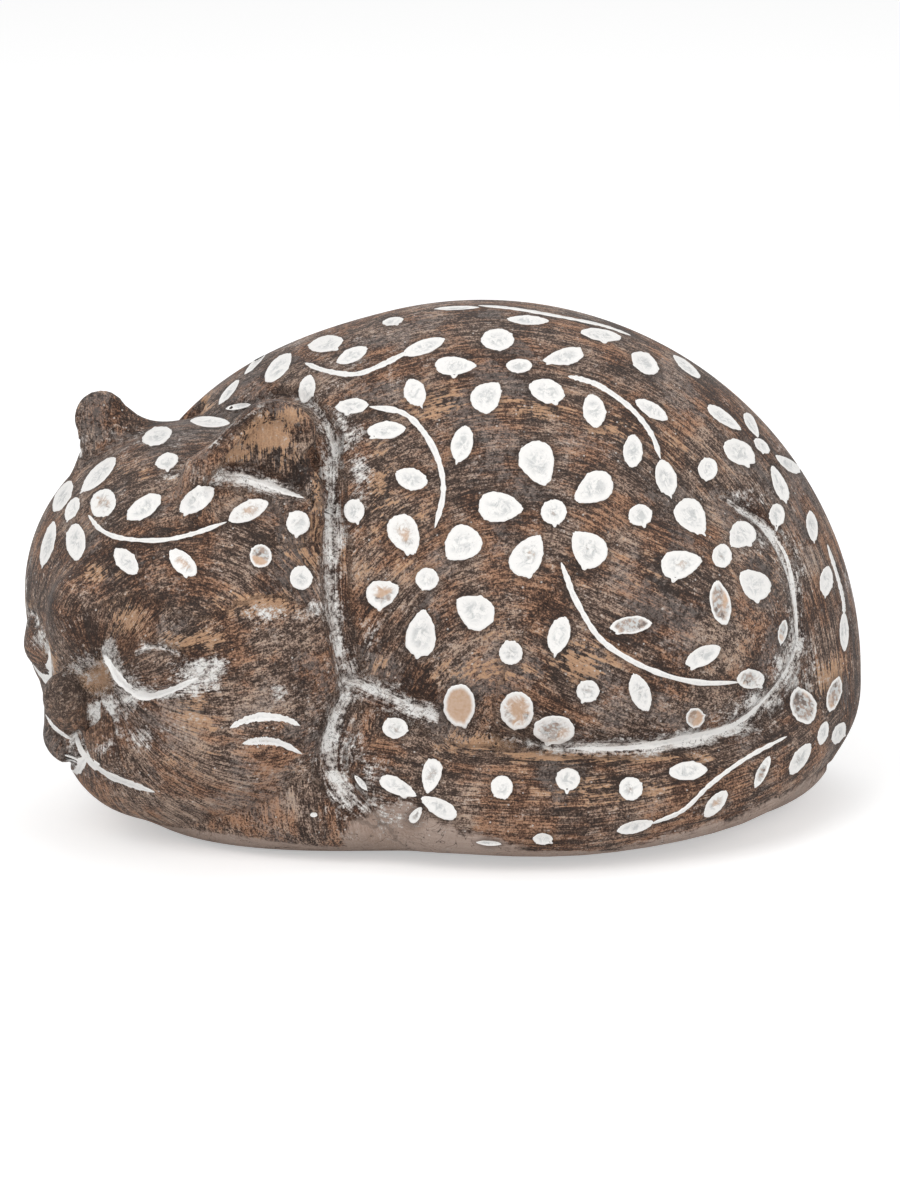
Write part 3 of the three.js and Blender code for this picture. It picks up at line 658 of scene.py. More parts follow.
# Stems and thin white lines: width, white lost, and the points that they follow.
FRONT_STEMS = (
    (
        1.0, 0.0,
        ((-69.0, 16.2), (-66.6, 13.4), (-62.6, 11.8), (-55.5, 11.4), (-49.2, 12.6), (-42.6, 14.9)),
    ),
    (1.1, 0.0, ((-27.7, 45.2), (-23.5, 43.7), (-18.1, 43.1), (-13.4, 44.7), (-8.0, 47.4))),
    (
        1.2, 0.0,
        ((-15.4, 36.9), (-9.0, 35.7), (-4.8, 31.7), (-2.1, 26.3), (-1.3, 20.4), (-2.9, 13.7)),
    ),
    (
        1.2, 0.0,
        (
            (21.2, 7.2), (22.4, 4.0), (24.0, 0.0), (28.4, -7.1), (34.5, -11.5), (41.6, -14.5),
            (48.3, -15.8), (55.2, -15.7),
        ),
    ),
    (
        1.1, 0.0,
        ((22.5, 42.7), (25.5, 42.0), (29.0, 40.6), (34.5, 36.6), (38.4, 31.7), (40.2, 26.9)),
    ),
    (0.8, 0.1, ((72.0, 10.6), (74.0, 4.2), (75.0, 0.0), (75.2, -2.6))),
    (0.9, 0.0, ((64.3, -26.0), (56.5, -30.2), (49.8, -35.1), (44.5, -40.1), (38.5, -42.7))),
    (0.7, 0.2, ((5.4, 56.2), (12.0, 55.6), (20.8, 54.1), (29.0, 52.4), (34.5, 50.5))),
)

# The white lines of the face, wider at their middle.
FRONT_FACE_LINES = (
    (
        1.8, 0.0,
        (
            (-66.0, -10.4), (-65.0, -12.2), (-62.4, -15.9), (-58.2, -18.4), (-52.9, -17.1),
            (-48.0, -14.8),
        ),
    ),
    (1.7, 0.0, ((-71.5, -25.4), (-70.0, -29.3), (-65.8, -33.0), (-61.5, -34.9), (-56.3, -36.7))),
    (1.7, 0.25, ((-42.0, -24.4), (-39.4, -23.1), (-35.9, -22.3), (-31.5, -22.7), (-28.6, -24.0))),
    (1.7, 0.25, ((-39.6, -27.4), (-37.4, -27.0), (-34.9, -26.9), (-31.9, -27.5), (-28.2, -29.4))),
    (0.8, 0.2, ((-77.2, -21.8), (-75.6, -24.2), (-73.4, -25.9), (-72.0, -26.6))),
)

# The far half of the face, on the mirrored plane: its eye lies a little lower.
FAR_FACE_LINES = (
    (
        2.0,
        0.0,
        (
            (-67.0, -10.4), (-65.0, -14.4), (-62.4, -17.9), (-58.2, -20.4), (-52.9, -19.1),
            (-48.6, -17.0),
        ),
    ),
    (1.3, 0.1, ((-71.5, -25.8), (-70.15, -29.5), (-66.35, -33.3), (-62.1, -35.4), (-57.0, -37.1))),
) + FRONT_FACE_LINES[2:4]
FAR_WASHES = (
    (-65.8, -11.6, 1.8, 2.4, 0.85), (-47.6, -16.0, 3.4, 2.4, 0.8), (-62.0, -20.0, 3.0, 2.6, 0.6),
    (-66.6, -21.7, 2.4, 4.0, 0.62), (-58.6, -25.2, 5.0, 2.6, 0.5),
)

# The bright middle of the lines round the haunch and across the root of the ear.
FRONT_CREASE_LINES = (
    (
        1.3, 0.12,
        (
            (61.0, -18.0), (56.5, -22.3), (51.5, -24.9), (46.0, -26.2), (37.2, -27.9),
            (30.0, -28.4), (22.5, -28.3),
        ),
    ),
    (0.8, 0.4, ((61.8, 12.4), (64.4, 7.5), (65.7, 0.0), (66.3, -7.0))),
    (1.2, 0.35, ((-39.0, 23.2), (-35.5, 22.3), (-31.5, 20.7), (-27.9, 19.5))),
)


REAR_WORN = (
    (-30.0, 18.0, 14.0, 5.0, 0.8), (22.0, -4.0, 16.0, 5.0, 0.8), (48.0, 22.0, 10.0, 5.0, 0.7),
    (-5.0, 30.0, 14.0, 4.0, 0.7), (-52.0, -14.0, 12.0, 4.0, 0.8), (8.0, -26.0, 20.0, 3.0, 0.8),
)


def blossom(u, v, reach, petals, turn, size=1.0):
    """A flower laid out round its middle, in the same form as the lists above."""
    ring = []
    for k in range(petals):
        angle = math.radians(turn + 360 * k / petals)
        place = (u + reach * math.cos(angle), v + reach * math.sin(angle))
        length, width = (8.4 - 0.5 * (k % 3)) * size, (6.2 - 0.4 * (k % 2)) * size
        ring.append((*place, length, width, 0.12 * (k % 3 == 1)))
    return ((u, v, 4.6 * size, 4.6 * size, 0.08), tuple(ring))


REAR_FLOWERS = (
    blossom(-33.0, 10.0, 9.4, 5, 80), blossom(6.0, 22.0, 9.0, 5, 20, 0.96),
    blossom(36.0, 2.0, 9.4, 5, 50), blossom(-8.0, -15.0, 8.4, 5, 95, 0.9),
    blossom(-58.0, -12.0, 7.6, 4, 30, 0.86),
)
REAR_STEMS = (
    (1.2, 0.0, ((-24.0, 0.0), (-19.0, -7.5), (-24.0, -17.0), (-33.0, -23.0), (-44.0, -25.5))),
    (1.1, 0.0, ((17.0, 25.0), (24.0, 28.5), (32.0, 27.0), (39.0, 22.0), (43.0, 16.0))),
    (1.1, 0.0, ((-12.0, 30.0), (-20.0, 34.0), (-29.0, 33.0), (-37.0, 28.0))),
    (1.2, 0.0, ((27.0, -8.0), (20.0, -15.0), (10.0, -22.5), (0.0, -27.0), (-10.0, -28.5))),
    (1.1, 0.0, ((46.0, -4.0), (53.0, -9.0), (57.0, -16.0), (57.0, -23.0))),
)
REAR_LEAVES = (
    (-46.5, -25.6, 7.6, 3.8, 5), (-30.0, -27.0, 7.0, 3.8, -30, 0.2), (-27.0, -13.0, 6.8, 3.6, 60),
    (-13.6, -28.8, 7.4, 3.8, 5), (14.0, -14.5, 6.8, 3.8, 70), (8.5, -28.5, 7.2, 3.6, -20, 0.35),
    (24.0, -20.0, 7.0, 3.8, 40), (44.0, 13.0, 6.8, 3.8, -75), (27.0, 34.0, 7.2, 3.4, 12),
    (24.0, 20.5, 6.6, 3.8, -25), (50.5, 20.5, 7.0, 3.4, -50), (-39.5, 26.2, 7.2, 3.6, 40),
    (-26.0, 27.4, 6.8, 3.6, 75), (-25.0, 39.0, 7.2, 2.8, 8), (-48.0, 22.0, 6.8, 3.6, 60),
    (-14.0, 8.0, 7.0, 3.8, 70), (10.0, 3.0, 7.2, 3.8, -65, 0.15), (-53.0, 5.0, 7.2, 3.6, 70),
    (57.0, -27.0, 7.4, 3.4, 88), (49.5, -15.5, 6.8, 3.6, -40), (62.5, -9.0, 6.6, 2.6, -70),
    (60.0, 5.0, 6.6, 2.8, -68), (36.0, -26.0, 7.2, 3.6, 10), (-69.0, 4.0, 6.8, 2.6, 72),
    (-44.0, -8.0, 7.0, 3.6, 20),
)
REAR_DOTS = (
    (-17.5, 20.0, 4.4, 4.4), (-2.5, 6.5, 4.4, 4.4, 0.1), (22.0, 10.5, 4.4, 4.4),
    (20.5, -3.5, 4.2, 4.2, 0.7), (-45.0, 0.0, 4.4, 4.4), (44.0, -19.0, 4.3, 4.3),
    (-60.5, 14.0, 3.8, 4.4), (-20.5, -33.5, 4.2, 3.8), (18.0, -31.0, 4.2, 3.8, 0.2),
    (33.0, 16.0, 4.2, 4.2), (0.0, 36.5, 4.2, 3.2), (13.0, 33.0, 4.4, 3.4),
)

RIGHT_FLOWERS = (blossom(17.0, 8.0, 8.8, 5, 60, 0.95),)
RIGHT_STEMS = (
    (1.1, 0.0, ((13.0, -2.0), (9.0, -9.0), (9.5, -17.0), (14.0, -24.0))),
    (1.1, 0.0, ((20.0, 19.5), (17.5, 27.0), (12.0, 32.5), (5.0, 35.0))),
)
RIGHT_LEAVES = (
    (16.6, -26.8, 7.0, 3.6, -42), (16.8, -13.0, 6.6, 3.4, 50), (2.6, 35.6, 6.6, 3.2, -10),
    (10.0, 24.5, 6.6, 3.4, 60), (1.5, 22.0, 6.4, 3.0, 40), (27.0, -8.0, 6.8, 3.6, -65),
)
RIGHT_DOTS = ((3.5, 4.0, 4.0, 4.4), (24.0, -19.0, 4.2, 4.2), (2.0, -6.0, 4.0, 4.0, 0.2))

# The far side repeats the head's shapes, apart from those round the middle of the brow. In
# the tables of soft places the head's stand first, as its stem does among the stems.
FAR_LEAVES = tuple(leaf for leaf in FRONT_LEAVES if -63 < leaf[0] < -36 and leaf[1] < 33)
FAR_DOTS = tuple(dot for dot in FRONT_DOTS if dot[0] < -25 and dot[1] > 0)
FACE_GROOVES = ("brow", "cheek upper", "cheek lower", "ear root")
FAR_EYE = (FAR_FACE_LINES[0][2], 1.0, 0.8, (0.7, 0.5, 0.5, 0.6), (1, 1))
FAR_MOUTH = (FAR_FACE_LINES[1][2], 1.4, 0.6, (0.3, 0.2), (1, 1))
FAR_GROOVES = {name: FRONT_GROOVES[name] for name in FACE_GROOVES}
FAR_GROOVES |= {"closed eye": FAR_EYE, "mouth": FAR_MOUTH}
GROOVES = {"front": FRONT_GROOVES, "far": FAR_GROOVES}
WASHES = {"front": FRONT_WASHES, "far": FAR_WASHES}
WORN = {"front": FRONT_WORN, "far": FRONT_WORN[:9], "rear": REAR_WORN}
STAIN_AND_PAINTED_LIGHT = {"front": FRONT_STAIN_AND_PAINTED_LIGHT, "far": FRONT_STAIN_AND_PAINTED_LIGHT[:8]}
LEAVES = {"front": FRONT_LEAVES, "rear": REAR_LEAVES, "right": RIGHT_LEAVES, "far": FAR_LEAVES}
FLOWERS = {"front": FRONT_FLOWERS, "rear": REAR_FLOWERS, "right": RIGHT_FLOWERS}
DOTS = {"front": FRONT_DOTS, "rear": REAR_DOTS, "right": RIGHT_DOTS, "far": FAR_DOTS}
STEMS = {"front": FRONT_STEMS, "rear": REAR_STEMS, "right": RIGHT_STEMS, "far": FRONT_STEMS[:1]}
FACE_LINES = {"front": FRONT_FACE_LINES + FRONT_CREASE_LINES, "far": FAR_FACE_LINES}


# Sizes and colours


class CatSizes(bpy.types.PropertyGroup):
    cell: FloatProperty(
        name="Surface cell",
        description="Edge length of the small squares that the figurine's surface is made of",
        default=0.00082, min=0.0004, max=0.004, precision=5, subtype="DISTANCE", unit="LENGTH",
    )
    groove: FloatProperty(
        name="Groove depth",
        description="How deep the carved lines are, as a share of their drawn depth",
        default=1.0, min=0.0, max=2.0, subtype="FACTOR",
    )
    recess: FloatProperty(
        name="Recess depth", description="How deep the surface is cut away under a filled shape",
        default=0.0004, min=0.0, max=0.002, precision=5, subtype="DISTANCE", unit="LENGTH",
    )
    rim: FloatProperty(
        name="Rim height", description="How far the rim of a filled shape stands over the surface",
        default=0.0001, min=0.0, max=0.001, precision=5, subtype="DISTANCE", unit="LENGTH",
    )
    nib: FloatProperty(
        name="Nib length",
        description="Length of the small nibs where the white has run out of a shape",
        default=0.0004, min=0.0, max=0.001, precision=5, subtype="DISTANCE", unit="LENGTH",
    )
    stroke: FloatProperty(
        name="Stroke width", description="Width of the dry brush strokes in the stain",
        default=0.0006, min=0.0002, max=0.003, precision=5, subtype="DISTANCE", unit="LENGTH",
    )
    seed: IntProperty(
        name="Seed", description="Start of the small irregularities of the shapes' edges",
        default=7, min=0,
    )


class CatColours(bpy.types.PropertyGroup):
    deep: FloatVectorProperty(
        name="Deep stain", description="The stain where it lies thickest",
        default=tone(40, 28, 22), min=0, max=1, subtype="COLOR",
    )
    stain: FloatVectorProperty(
        name="Stain", description="The brown stain over most of the figurine",
        default=tone(98, 79, 68), min=0, max=1, subtype="COLOR",
    )
    rubbed: FloatVectorProperty(
        name="Rubbed stain", description="The stain where the brush or a cloth has thinned it",
        default=tone(158, 134, 119), min=0, max=1, subtype="COLOR",
    )
    warm: FloatVectorProperty(
        name="Warm stain", description="The reddish tone of the thinner stain",
        default=tone(128, 86, 60), min=0, max=1, subtype="COLOR",
    )
    bare: FloatVectorProperty(
        name="Bare resin", description="The tan resin that shows where the stain is worn through",
        default=tone(204, 164, 130), min=0, max=1, subtype="COLOR",
    )
    # The foot's colour is lighter than the band's own: painted light, for the light bounced up from
    # the floor onto its downward faces.
    foot: FloatVectorProperty(
        name="Foot", description="The smooth band round the foot",
        default=tone(184, 164, 152), min=0, max=1, subtype="COLOR",
    )
    white: FloatVectorProperty(
        name="White filling", description="The white paste in the carved shapes",
        default=tone(245, 243, 240), min=0, max=1, subtype="COLOR",
    )
    cloud: FloatVectorProperty(
        name="Clouding", description="The grey swirls in the white paste",
        default=tone(202, 203, 202), min=0, max=1, subtype="COLOR",
    )
    haze: FloatVectorProperty(
        name="Grey haze",
        description="The thinnest white, grey where the dark stain shows through it",
        default=tone(158, 149, 144), min=0, max=1, subtype="COLOR",
    )
    wash: FloatVectorProperty(
        name="White wash", description="The thinned white that is left in the creases",
        default=tone(214, 206, 200), min=0, max=1, subtype="COLOR",
    )
    plate: FloatVectorProperty(
        name="Base plate", description="The unstained resin of the plate under the figurine",
        default=tone(196, 168, 138), min=0, max=1, subtype="COLOR",
    )
    plug: FloatVectorProperty(
        name="Plug", description="The soft plastic plug in the base plate",
        default=tone(214, 212, 204), min=0, max=1, subtype="COLOR",
    )
    felt: FloatVectorProperty(
        name="Felt", description="The felt discs that the figurine stands on",
        default=tone(74, 62, 54), min=0, max=1, subtype="COLOR",
    )


class CatStage(bpy.types.PropertyGroup):
    lens: FloatProperty(
        name="Lens", description="Focal length of the camera, in millimetres",
        default=LENS, min=20, max=400,
    )
    key: FloatProperty(
        name="Key light", description="Power of the large soft light at the upper left",
        default=4.9, min=0, subtype="POWER", unit="POWER",
    )
    fill: FloatProperty(
        name="Fill light", description="Power of the soft light at the right",
        default=2.2, min=0, subtype="POWER", unit="POWER",
    )
    low: FloatProperty(
        name="Low light", description="Power of the soft light low in front",
        default=2.4, min=0, subtype="POWER", unit="POWER",
    )
    surround: FloatProperty(
        name="Surround", description="Brightness of the even light from all round",
        default=0.52, min=0, max=2,
    )


# Patterns for the finishes


class Field:
    """A value or colour that changes from place to place in a material."""

    def __init__(self, tree, socket):
        self.tree = tree
        self.socket = socket

    def __add__(self, other):
        return calc("ADD", self, other)

    def __sub__(self, other):
        return calc("SUBTRACT", self, other)

    def __mul__(self, other):
        return calc("MULTIPLY", self, other)


def joined(socket, value):
    """Feed a socket from a field, or set it to a number, a colour or a direction."""
    if isinstance(value, Field):
        value.tree.links.new(value.socket, socket)
    elif hasattr(value, "__len__"):
        opaque = (1,) * (len(socket.default_value) - len(value))
        socket.default_value = (*value, *opaque)
    else:
        socket.default_value = value


def add_node(tree, kind, inputs=None, **settings):
    node = tree.nodes.new(kind)
    for key, value in settings.items():
        setattr(node, key, value)
    for key, value in (inputs or {}).items():
        joined(node.inputs[key], value)
    return node


def field(tree, kind, output, inputs=None, **settings):
    """One output of a new node."""
    return Field(tree, add_node(tree, kind, inputs, **settings).outputs[output])


def calc(operation, a, b=0.0):
    tree = (a if isinstance(a, Field) else b).tree
    return field(tree, "ShaderNodeMath", 0, {0: a, 1: b}, operation=operation)


def span(value, low, high, to_low=0.0, to_high=1.0):
    """The value between two limits, eased, as a value between two others."""
    inputs = {"From Min": low, "From Max": high, "To Min": to_low, "To Max": to_high}
    inputs["Value"] = value
    kind = "ShaderNodeMapRange"
    return field(value.tree, kind, "Result", inputs, interpolation_type="SMOOTHSTEP")


def mixed(share, a, b, blend_type="MIX"):
    """Two colours mixed, through the sockets that a Mix node keeps for colours."""
    tree = next(value.tree for value in (share, a, b) if isinstance(value, Field))
    inputs = {0: share, 6: a, 7: b}
    return field(tree, "ShaderNodeMix", 2, inputs, data_type="RGBA", blend_type=blend_type)


def between(share, a, b):
    """The plain colour at a share of the way from one to another."""
    return tuple(p + (q - p) * share for p, q in zip(a, b))


def noise(vector, scale, detail=3.0, roughness=0.55, distortion=0.0):
    inputs = {"Vector": vector, "Scale": scale, "Detail": detail, "Roughness": roughness}
    inputs["Distortion"] = distortion
    return field(vector.tree, "ShaderNodeTexNoise", "Fac", inputs)


def stretched(vector, x, y, z):
    inputs = {0: vector, 1: (x, y, z)}
    return field(vector.tree, "ShaderNodeVectorMath", 0, inputs, operation="MULTIPLY")


def brushed(stroke, along, across, detail, roughness=0.55):
    """Noise drawn out along the brush strokes, by how often it turns along and across them."""
    return noise(stretched(stroke, along, across, across), 1.0, detail, roughness)


def read(tree, name, part="Fac"):
    return field(tree, "ShaderNodeAttribute", part, attribute_name=name)


def tones(value, *stops):
    """The colour at each value, between stops of a place and a colour."""
    node = add_node(value.tree, "ShaderNodeValToRGB", {"Fac": value})
    ramp = node.color_ramp
    while len(ramp.elements) < len(stops):
        ramp.elements.new(0.5)
    for element, (place, colour) in zip(ramp.elements, stops):
        element.position = place
        element.color = (*colour, 1)
    return Field(value.tree, node.outputs["Color"])


def crisp(value, half):
    """A soft pattern pushed apart into its low and high places, about its middle at nought."""
    return span(value, 0.5 - half, 0.5 + half) - 0.5


def weighed(start, *parts):
    """The sum of a start and of patterns, each times its weight."""
    for part, weight in parts:
        start = calc("ADD", start, part * weight)
    return start


def thin_line(pattern, width, strength):
    """A fine line wherever a pattern passes its middle value."""
    return span(calc("ABSOLUTE", pattern - 0.5), 0.0, width, strength, 0.0)


def bump(height, distance, strength):
    inputs = {"Height": height, "Distance": distance, "Strength": strength}
    return field(height.tree, "ShaderNodeBump", "Normal", inputs)


def cleared(owner):
    owner.use_nodes = True
    owner.node_tree.nodes.clear()
    return owner.node_tree


def new_material(name):
    material = bpy.data.materials.new(name)
    tree = cleared(material)
    return material, tree, field(tree, "ShaderNodeTexCoord", "Object")


def finished(material, surface):
    """The material with its surface, given by the shader's own sockets."""
    tree = material.node_tree
    shader = field(tree, "ShaderNodeBsdfPrincipled", "BSDF", surface)
    add_node(tree, "ShaderNodeOutputMaterial", {"Surface": shader})
    return material


# Finishes. A pattern's scale is in repeats a metre, or a millimetre along a brush stroke.

DARK_STAIN = tone(66, 50, 41)
THIN_STAIN = tone(196, 172, 152)
REDDISH = tone(238, 196, 160)
WAXY_SHEEN = tone(214, 206, 200)
PASTE_CRACK = tone(150, 150, 150)
PASTE_SPECK = tone(168, 160, 152)
PLUG_CLOUD = tone(198, 196, 188)
FELT_FLUFF = tone(150, 134, 122)


def stained_finish(colours, sizes):
    """Brown stain brushed on and rubbed back, with white wash in the creases."""
    material, tree, place = new_material("rubbed brown stain")
    stroke = read(tree, "stroke", "Vector")
    wash, hollow = read(tree, "wash"), read(tree, "hollow")
    fine = MM / sizes.stroke
    hairs = brushed(stroke, 0.07 * fine, 1.1 * fine, 4, 0.7)
    flecks = noise(place, 1150, 3, 0.6)
    streaks = crisp(hairs, 0.14)
    threads = crisp(brushed(stroke, 0.22 * fine, 3.0 * fine, 2, 0.6), 0.16)
    broad = crisp(brushed(stroke, 0.045, 0.5, 4, 0.65), 0.14)
    specks = crisp(noise(place, 2900, 2, 0.7), 0.16)
    spots = crisp(flecks, 0.14)
    blots = crisp(noise(place, 230, 4, 0.62), 0.14)
    clouds = crisp(noise(place, 70), 0.16)

    # The stain, from its thickest to its thinnest, then its red and grey tinges. The tint also
    # takes painted shade in the grooves and the soft patches of painted light and shade.
    tint = weighed(
        read(tree, "tone") + 0.5,
        (streaks, 0.5), (broad, 0.37), (specks, 0.54), (spots, 0.2), (blots, 0.2), (clouds, 0.3),
        (threads, 0.34), (read(tree, "shade"), -0.14), (hollow * blots, 0.5),
    )
    base = tones(
        tint,
        (0.0, colours.deep), (0.26, DARK_STAIN), (0.5, colours.stain), (0.74, colours.rubbed),
        (1.0, THIN_STAIN),
    )
    reddish = weighed(noise(place, 110), (broad, 0.12), (threads, 0.1))
    redder = mixed(1.0, base, REDDISH, "MULTIPLY")
    base = mixed(span(reddish, 0.44, 0.62, 0.0, 0.72), base, redder)
    dusty = weighed(span(noise(place, 85), 0.46, 0.62), (spots, 0.7), (specks, 0.5))
    base = mixed(span(dusty, 0.4, 1.2, 0.0, 0.3), base, colours.haze)

    # Tan resin where the stain is worn through.
    worn = weighed(read(tree, "worn"), (streaks, 0.6), (blots, 0.55), (spots, 0.35), (broad, 0.3))
    shaded = between(0.5, colours.bare, colours.warm)
    tan = mixed(weighed(0.6, (specks, 0.5), (streaks, 0.5)), shaded, colours.bare)
    base = mixed(span(worn, 0.62, 0.86, 0.0, 0.92), base, tan)

    # The smooth foot, its cracks, and scratches all over. The foot's colour holds painted light
    # from the floor below.
    smooth = weighed(0.66, (streaks, 0.5), (clouds, 0.5), (specks, 0.3))
    cracks = thin_line(noise(place, 160, 3, 0.6, 0.6), 0.006, 0.85)
    foot = mixed(cracks, mixed(smooth, colours.rubbed, colours.foot), colours.deep)
    bared = weighed(read(tree, "foot"), (streaks, 0.22), (spots, 0.25), (blots, 0.3))
    base = mixed(span(bared, 0.2, 0.8) * 0.95, base, foot)
    scratches = thin_line(brushed(stroke, 0.03, 0.8, 2), 0.006, 0.4)
    base = mixed(scratches * span(flecks, 0.45, 0.6), base, colours.rubbed)

    # White wash in the creases, greyer where it is thin, and peeled along fine lines. On the brow,
    # the ear's rim and the far profile the white is partly painted highlight.
    cover = weighed(wash, (streaks, 0.34), (spots, 0.3), (specks, 0.34), (blots, 0.42))
    cover = span(cover, 0.3, 0.78, 0.0, 0.97)
    paleness = weighed(wash, (blots, 0.7), (spots, 0.3), (streaks, 0.4))
    washed = mixed(span(paleness, 0.2, 0.62), colours.haze, colours.wash)
    washed = mixed(span(paleness, 0.62, 1.0), washed, colours.white)
    peeled = thin_line(noise(place, 620, 3, 0.6, 0.8), 0.022, 0.85)
    washed = mixed(peeled, washed, between(0.5, colours.deep, colours.stain))
    base = mixed(cover, base, washed)

    # Splashes of white and dark in some cells, the nose, and painted shade round the white shapes.
    cells = add_node(tree, "ShaderNodeTexVoronoi", {"Vector": place, "Scale": 640}).outputs
    near = span(Field(tree, cells["Distance"]), 0.08, 0.15, 1.0, 0.0)
    channels = {"Color": Field(tree, cells["Color"])}
    chance = add_node(tree, "ShaderNodeSeparateColor", channels).outputs
    pale = near * span(Field(tree, chance[0]), 0.6, 0.62)
    dark = near * span(Field(tree, chance[1]), 0.66, 0.7)
    base = mixed(pale * 0.85, base, colours.wash)
    base = mixed(dark * 0.75, base, colours.deep)
    nose = read(tree, "dark") * span(spots, -0.4, 0.4, 0.7, 0.12)
    base = mixed(nose, base, between(0.25, colours.deep, colours.stain))
    # Painted shade round the filled shapes, where the recesses' edges would shade the surface.
    base = mixed(read(tree, "halo") * 0.72, base, mixed(0.75, base, colours.deep))

    height = weighed(
        0.5,
        (streaks, 0.5), (specks, 0.35), (spots, 0.3), (cover, 0.25), (peeled, -0.3),
        (scratches, -0.3),
    )
    surface = {
        "Base Color": base,
        "Roughness": span(hairs, 0.3, 0.7, 0.5, 0.74),
        "Specular IOR Level": 0.32,
        "Sheen Weight": 0.06,
        "Sheen Roughness": 0.45,
        "Sheen Tint": WAXY_SHEEN,
        "Normal": bump(height, 0.00022, 0.8),
    }
    return finished(material, surface)


def white_finish(colours):
    """White paste set into the carving: a clean rim, a clouded middle and worn spots."""
    material, tree, place = new_material("white paste")
    share, bare = read(tree, "share"), read(tree, "bare")
    swirl = noise(place, 640, 5, 0.66, 1.2)
    grit = noise(place, 2400, 2, 0.5)
    inside = span(share, 0.3, 0.84, 1.0, 0.0)
    base = mixed(inside * span(swirl, 0.4, 0.62, 0.0, 0.95), colours.white, colours.cloud)
    marks = inside * thin_line(noise(place, 300, 3, 0.6, 1.6), 0.008, 0.6)
    base = mixed(marks, base, PASTE_CRACK)
    base = mixed(span(grit, 0.66, 0.74) * 0.35, base, PASTE_SPECK)

    # Where the white has come off, stain and resin show, but the rim is left standing.
    gap = bare * 1.25 - share * 0.62 + (swirl - 0.5) * 1.6
    gap = span(gap, -0.05, 0.5) * span(bare, 0.02, 0.12) * span(share, 0.66, 0.9, 1.0, 0.0)
    under = mixed(span(noise(place, 1300), 0.4, 0.58), colours.rubbed, colours.cloud)
    under = mixed(span(noise(place, 700), 0.56, 0.64), under, colours.stain)
    tan = span(noise(place, 150, 2), 0.5, 0.58) + span(bare, 0.86, 0.96)
    under = mixed(calc("MINIMUM", tan, 0.85), under, colours.bare)
    surface = {
        "Base Color": mixed(gap * 0.9, base, under),
        "Roughness": 0.48,
        "Specular IOR Level": 0.35,
        "Normal": bump(swirl * 0.7 + grit * 0.25 - gap * 0.4, 0.00012, 0.7),
    }
    return finished(material, surface)


def plate_finish(colours):
    """Unstained cast resin: even, with fine pits and faint marks of sanding."""
    material, tree, place = new_material("sanded bare resin")
    sanding = noise(stretched(place, 260, 2400, 900), 1.0, 4, 0.6)
    cells = field(tree, "ShaderNodeTexVoronoi", "Distance", {"Vector": place, "Scale": 420})
    pit = span(cells, 0.05, 0.11, 1.0, 0.0)
    sanded = between(0.25, colours.plate, colours.warm)
    base = mixed(span(sanding, 0.35, 0.7), sanded, colours.plate)
    base = mixed(span(noise(place, 70), 0.45, 0.65, 0.0, 0.25), base, colours.bare)
    surface = {
        "Base Color": mixed(pit * 0.5, base, colours.stain),
        "Roughness": span(sanding, 0.3, 0.7, 0.55, 0.72),
        "Normal": bump(sanding * 0.4 - pit, 0.0002, 0.6),
    }
    return finished(material, surface)


def plug_finish(colours):
    """Soft moulded plastic, faintly clouded, with a fine moulded grain."""
    material, _, place = new_material("soft moulded plastic")
    grain = noise(place, 5200, 2)
    surface = {
        "Base Color": mixed(span(noise(place, 240), 0.4, 0.65, 0.0, 0.5), colours.plug, PLUG_CLOUD),
        "Roughness": span(grain, 0.35, 0.65, 0.36, 0.5),
        "Subsurface Weight": 0.15,
        "Subsurface Scale": 0.002,
        "Normal": bump(grain, 0.00004, 0.5),
    }
    return finished(material, surface)


def felt_finish(colours):
    """Pressed felt: matted fibres that lie in all directions."""
    material, _, place = new_material("pressed felt")
    ways = ((900, 5200), (5200, 900), (3200, 3200))
    mats = [noise(stretched(place, x, y, 1500), 1.0, 4, 0.7, 0.6) for x, y in ways]
    fibres = calc("MAXIMUM", calc("MAXIMUM", mats[0], mats[1]), mats[2])
    matted = between(0.6, colours.felt, colours.deep)
    base = mixed(span(fibres, 0.48, 0.72), matted, colours.felt)
    surface = {
        "Base Color": mixed(span(fibres, 0.68, 0.8, 0.0, 0.4), base, FELT_FLUFF),
        "Roughness": 0.95,
        "Sheen Weight": 0.4,
        "Sheen Roughness": 0.5,
        "Normal": bump(fibres, 0.0003, 0.9),
    }
    return finished(material, surface)


# Making the pieces


def deselect():
    for obj in bpy.context.view_layer.objects:
        obj.select_set(False)


def make_active(obj):
    deselect()
    obj.select_set(True)
    bpy.context.view_layer.objects.active = obj


def give(obj, material):
    obj.data.materials.clear()
    obj.data.materials.append(material)


def store(mesh, **values):
    """Keep values or places at the points of a mesh, for its finish to read."""
    for name, array in values.items():
        kind, key = ("FLOAT", "value") if array.ndim == 1 else ("FLOAT_VECTOR", "vector")
        attribute = mesh.attributes.new(name, kind, "POINT")
        attribute.data.foreach_set(key, np.ascontiguousarray(array, np.float32).ravel())


def triples(collection, key, kind=float):
    flat = np.empty(len(collection) * 3, kind)
    collection.foreach_get(key, flat)
    return flat.reshape(-1, 3)


def points_of(mesh):
    return triples(mesh.vertices, "co")


def normals_of(mesh):
    return triples(mesh.vertex_normals, "vector")


def move_points(mesh, points):
    mesh.vertices.foreach_set("co", np.ascontiguousarray(points).ravel())
    mesh.update()


def apply_all(obj):
    make_active(obj)
    for modifier in list(obj.modifiers):
        bpy.ops.object.modifier_apply(modifier=modifier.name)


# Shapes that the white paste fills. A shape's profile runs from its middle to its edge, and a
# line's crown from side to side, both in shares of the rim's height. A shape's closed underside
# lies at its root, in millimetres.

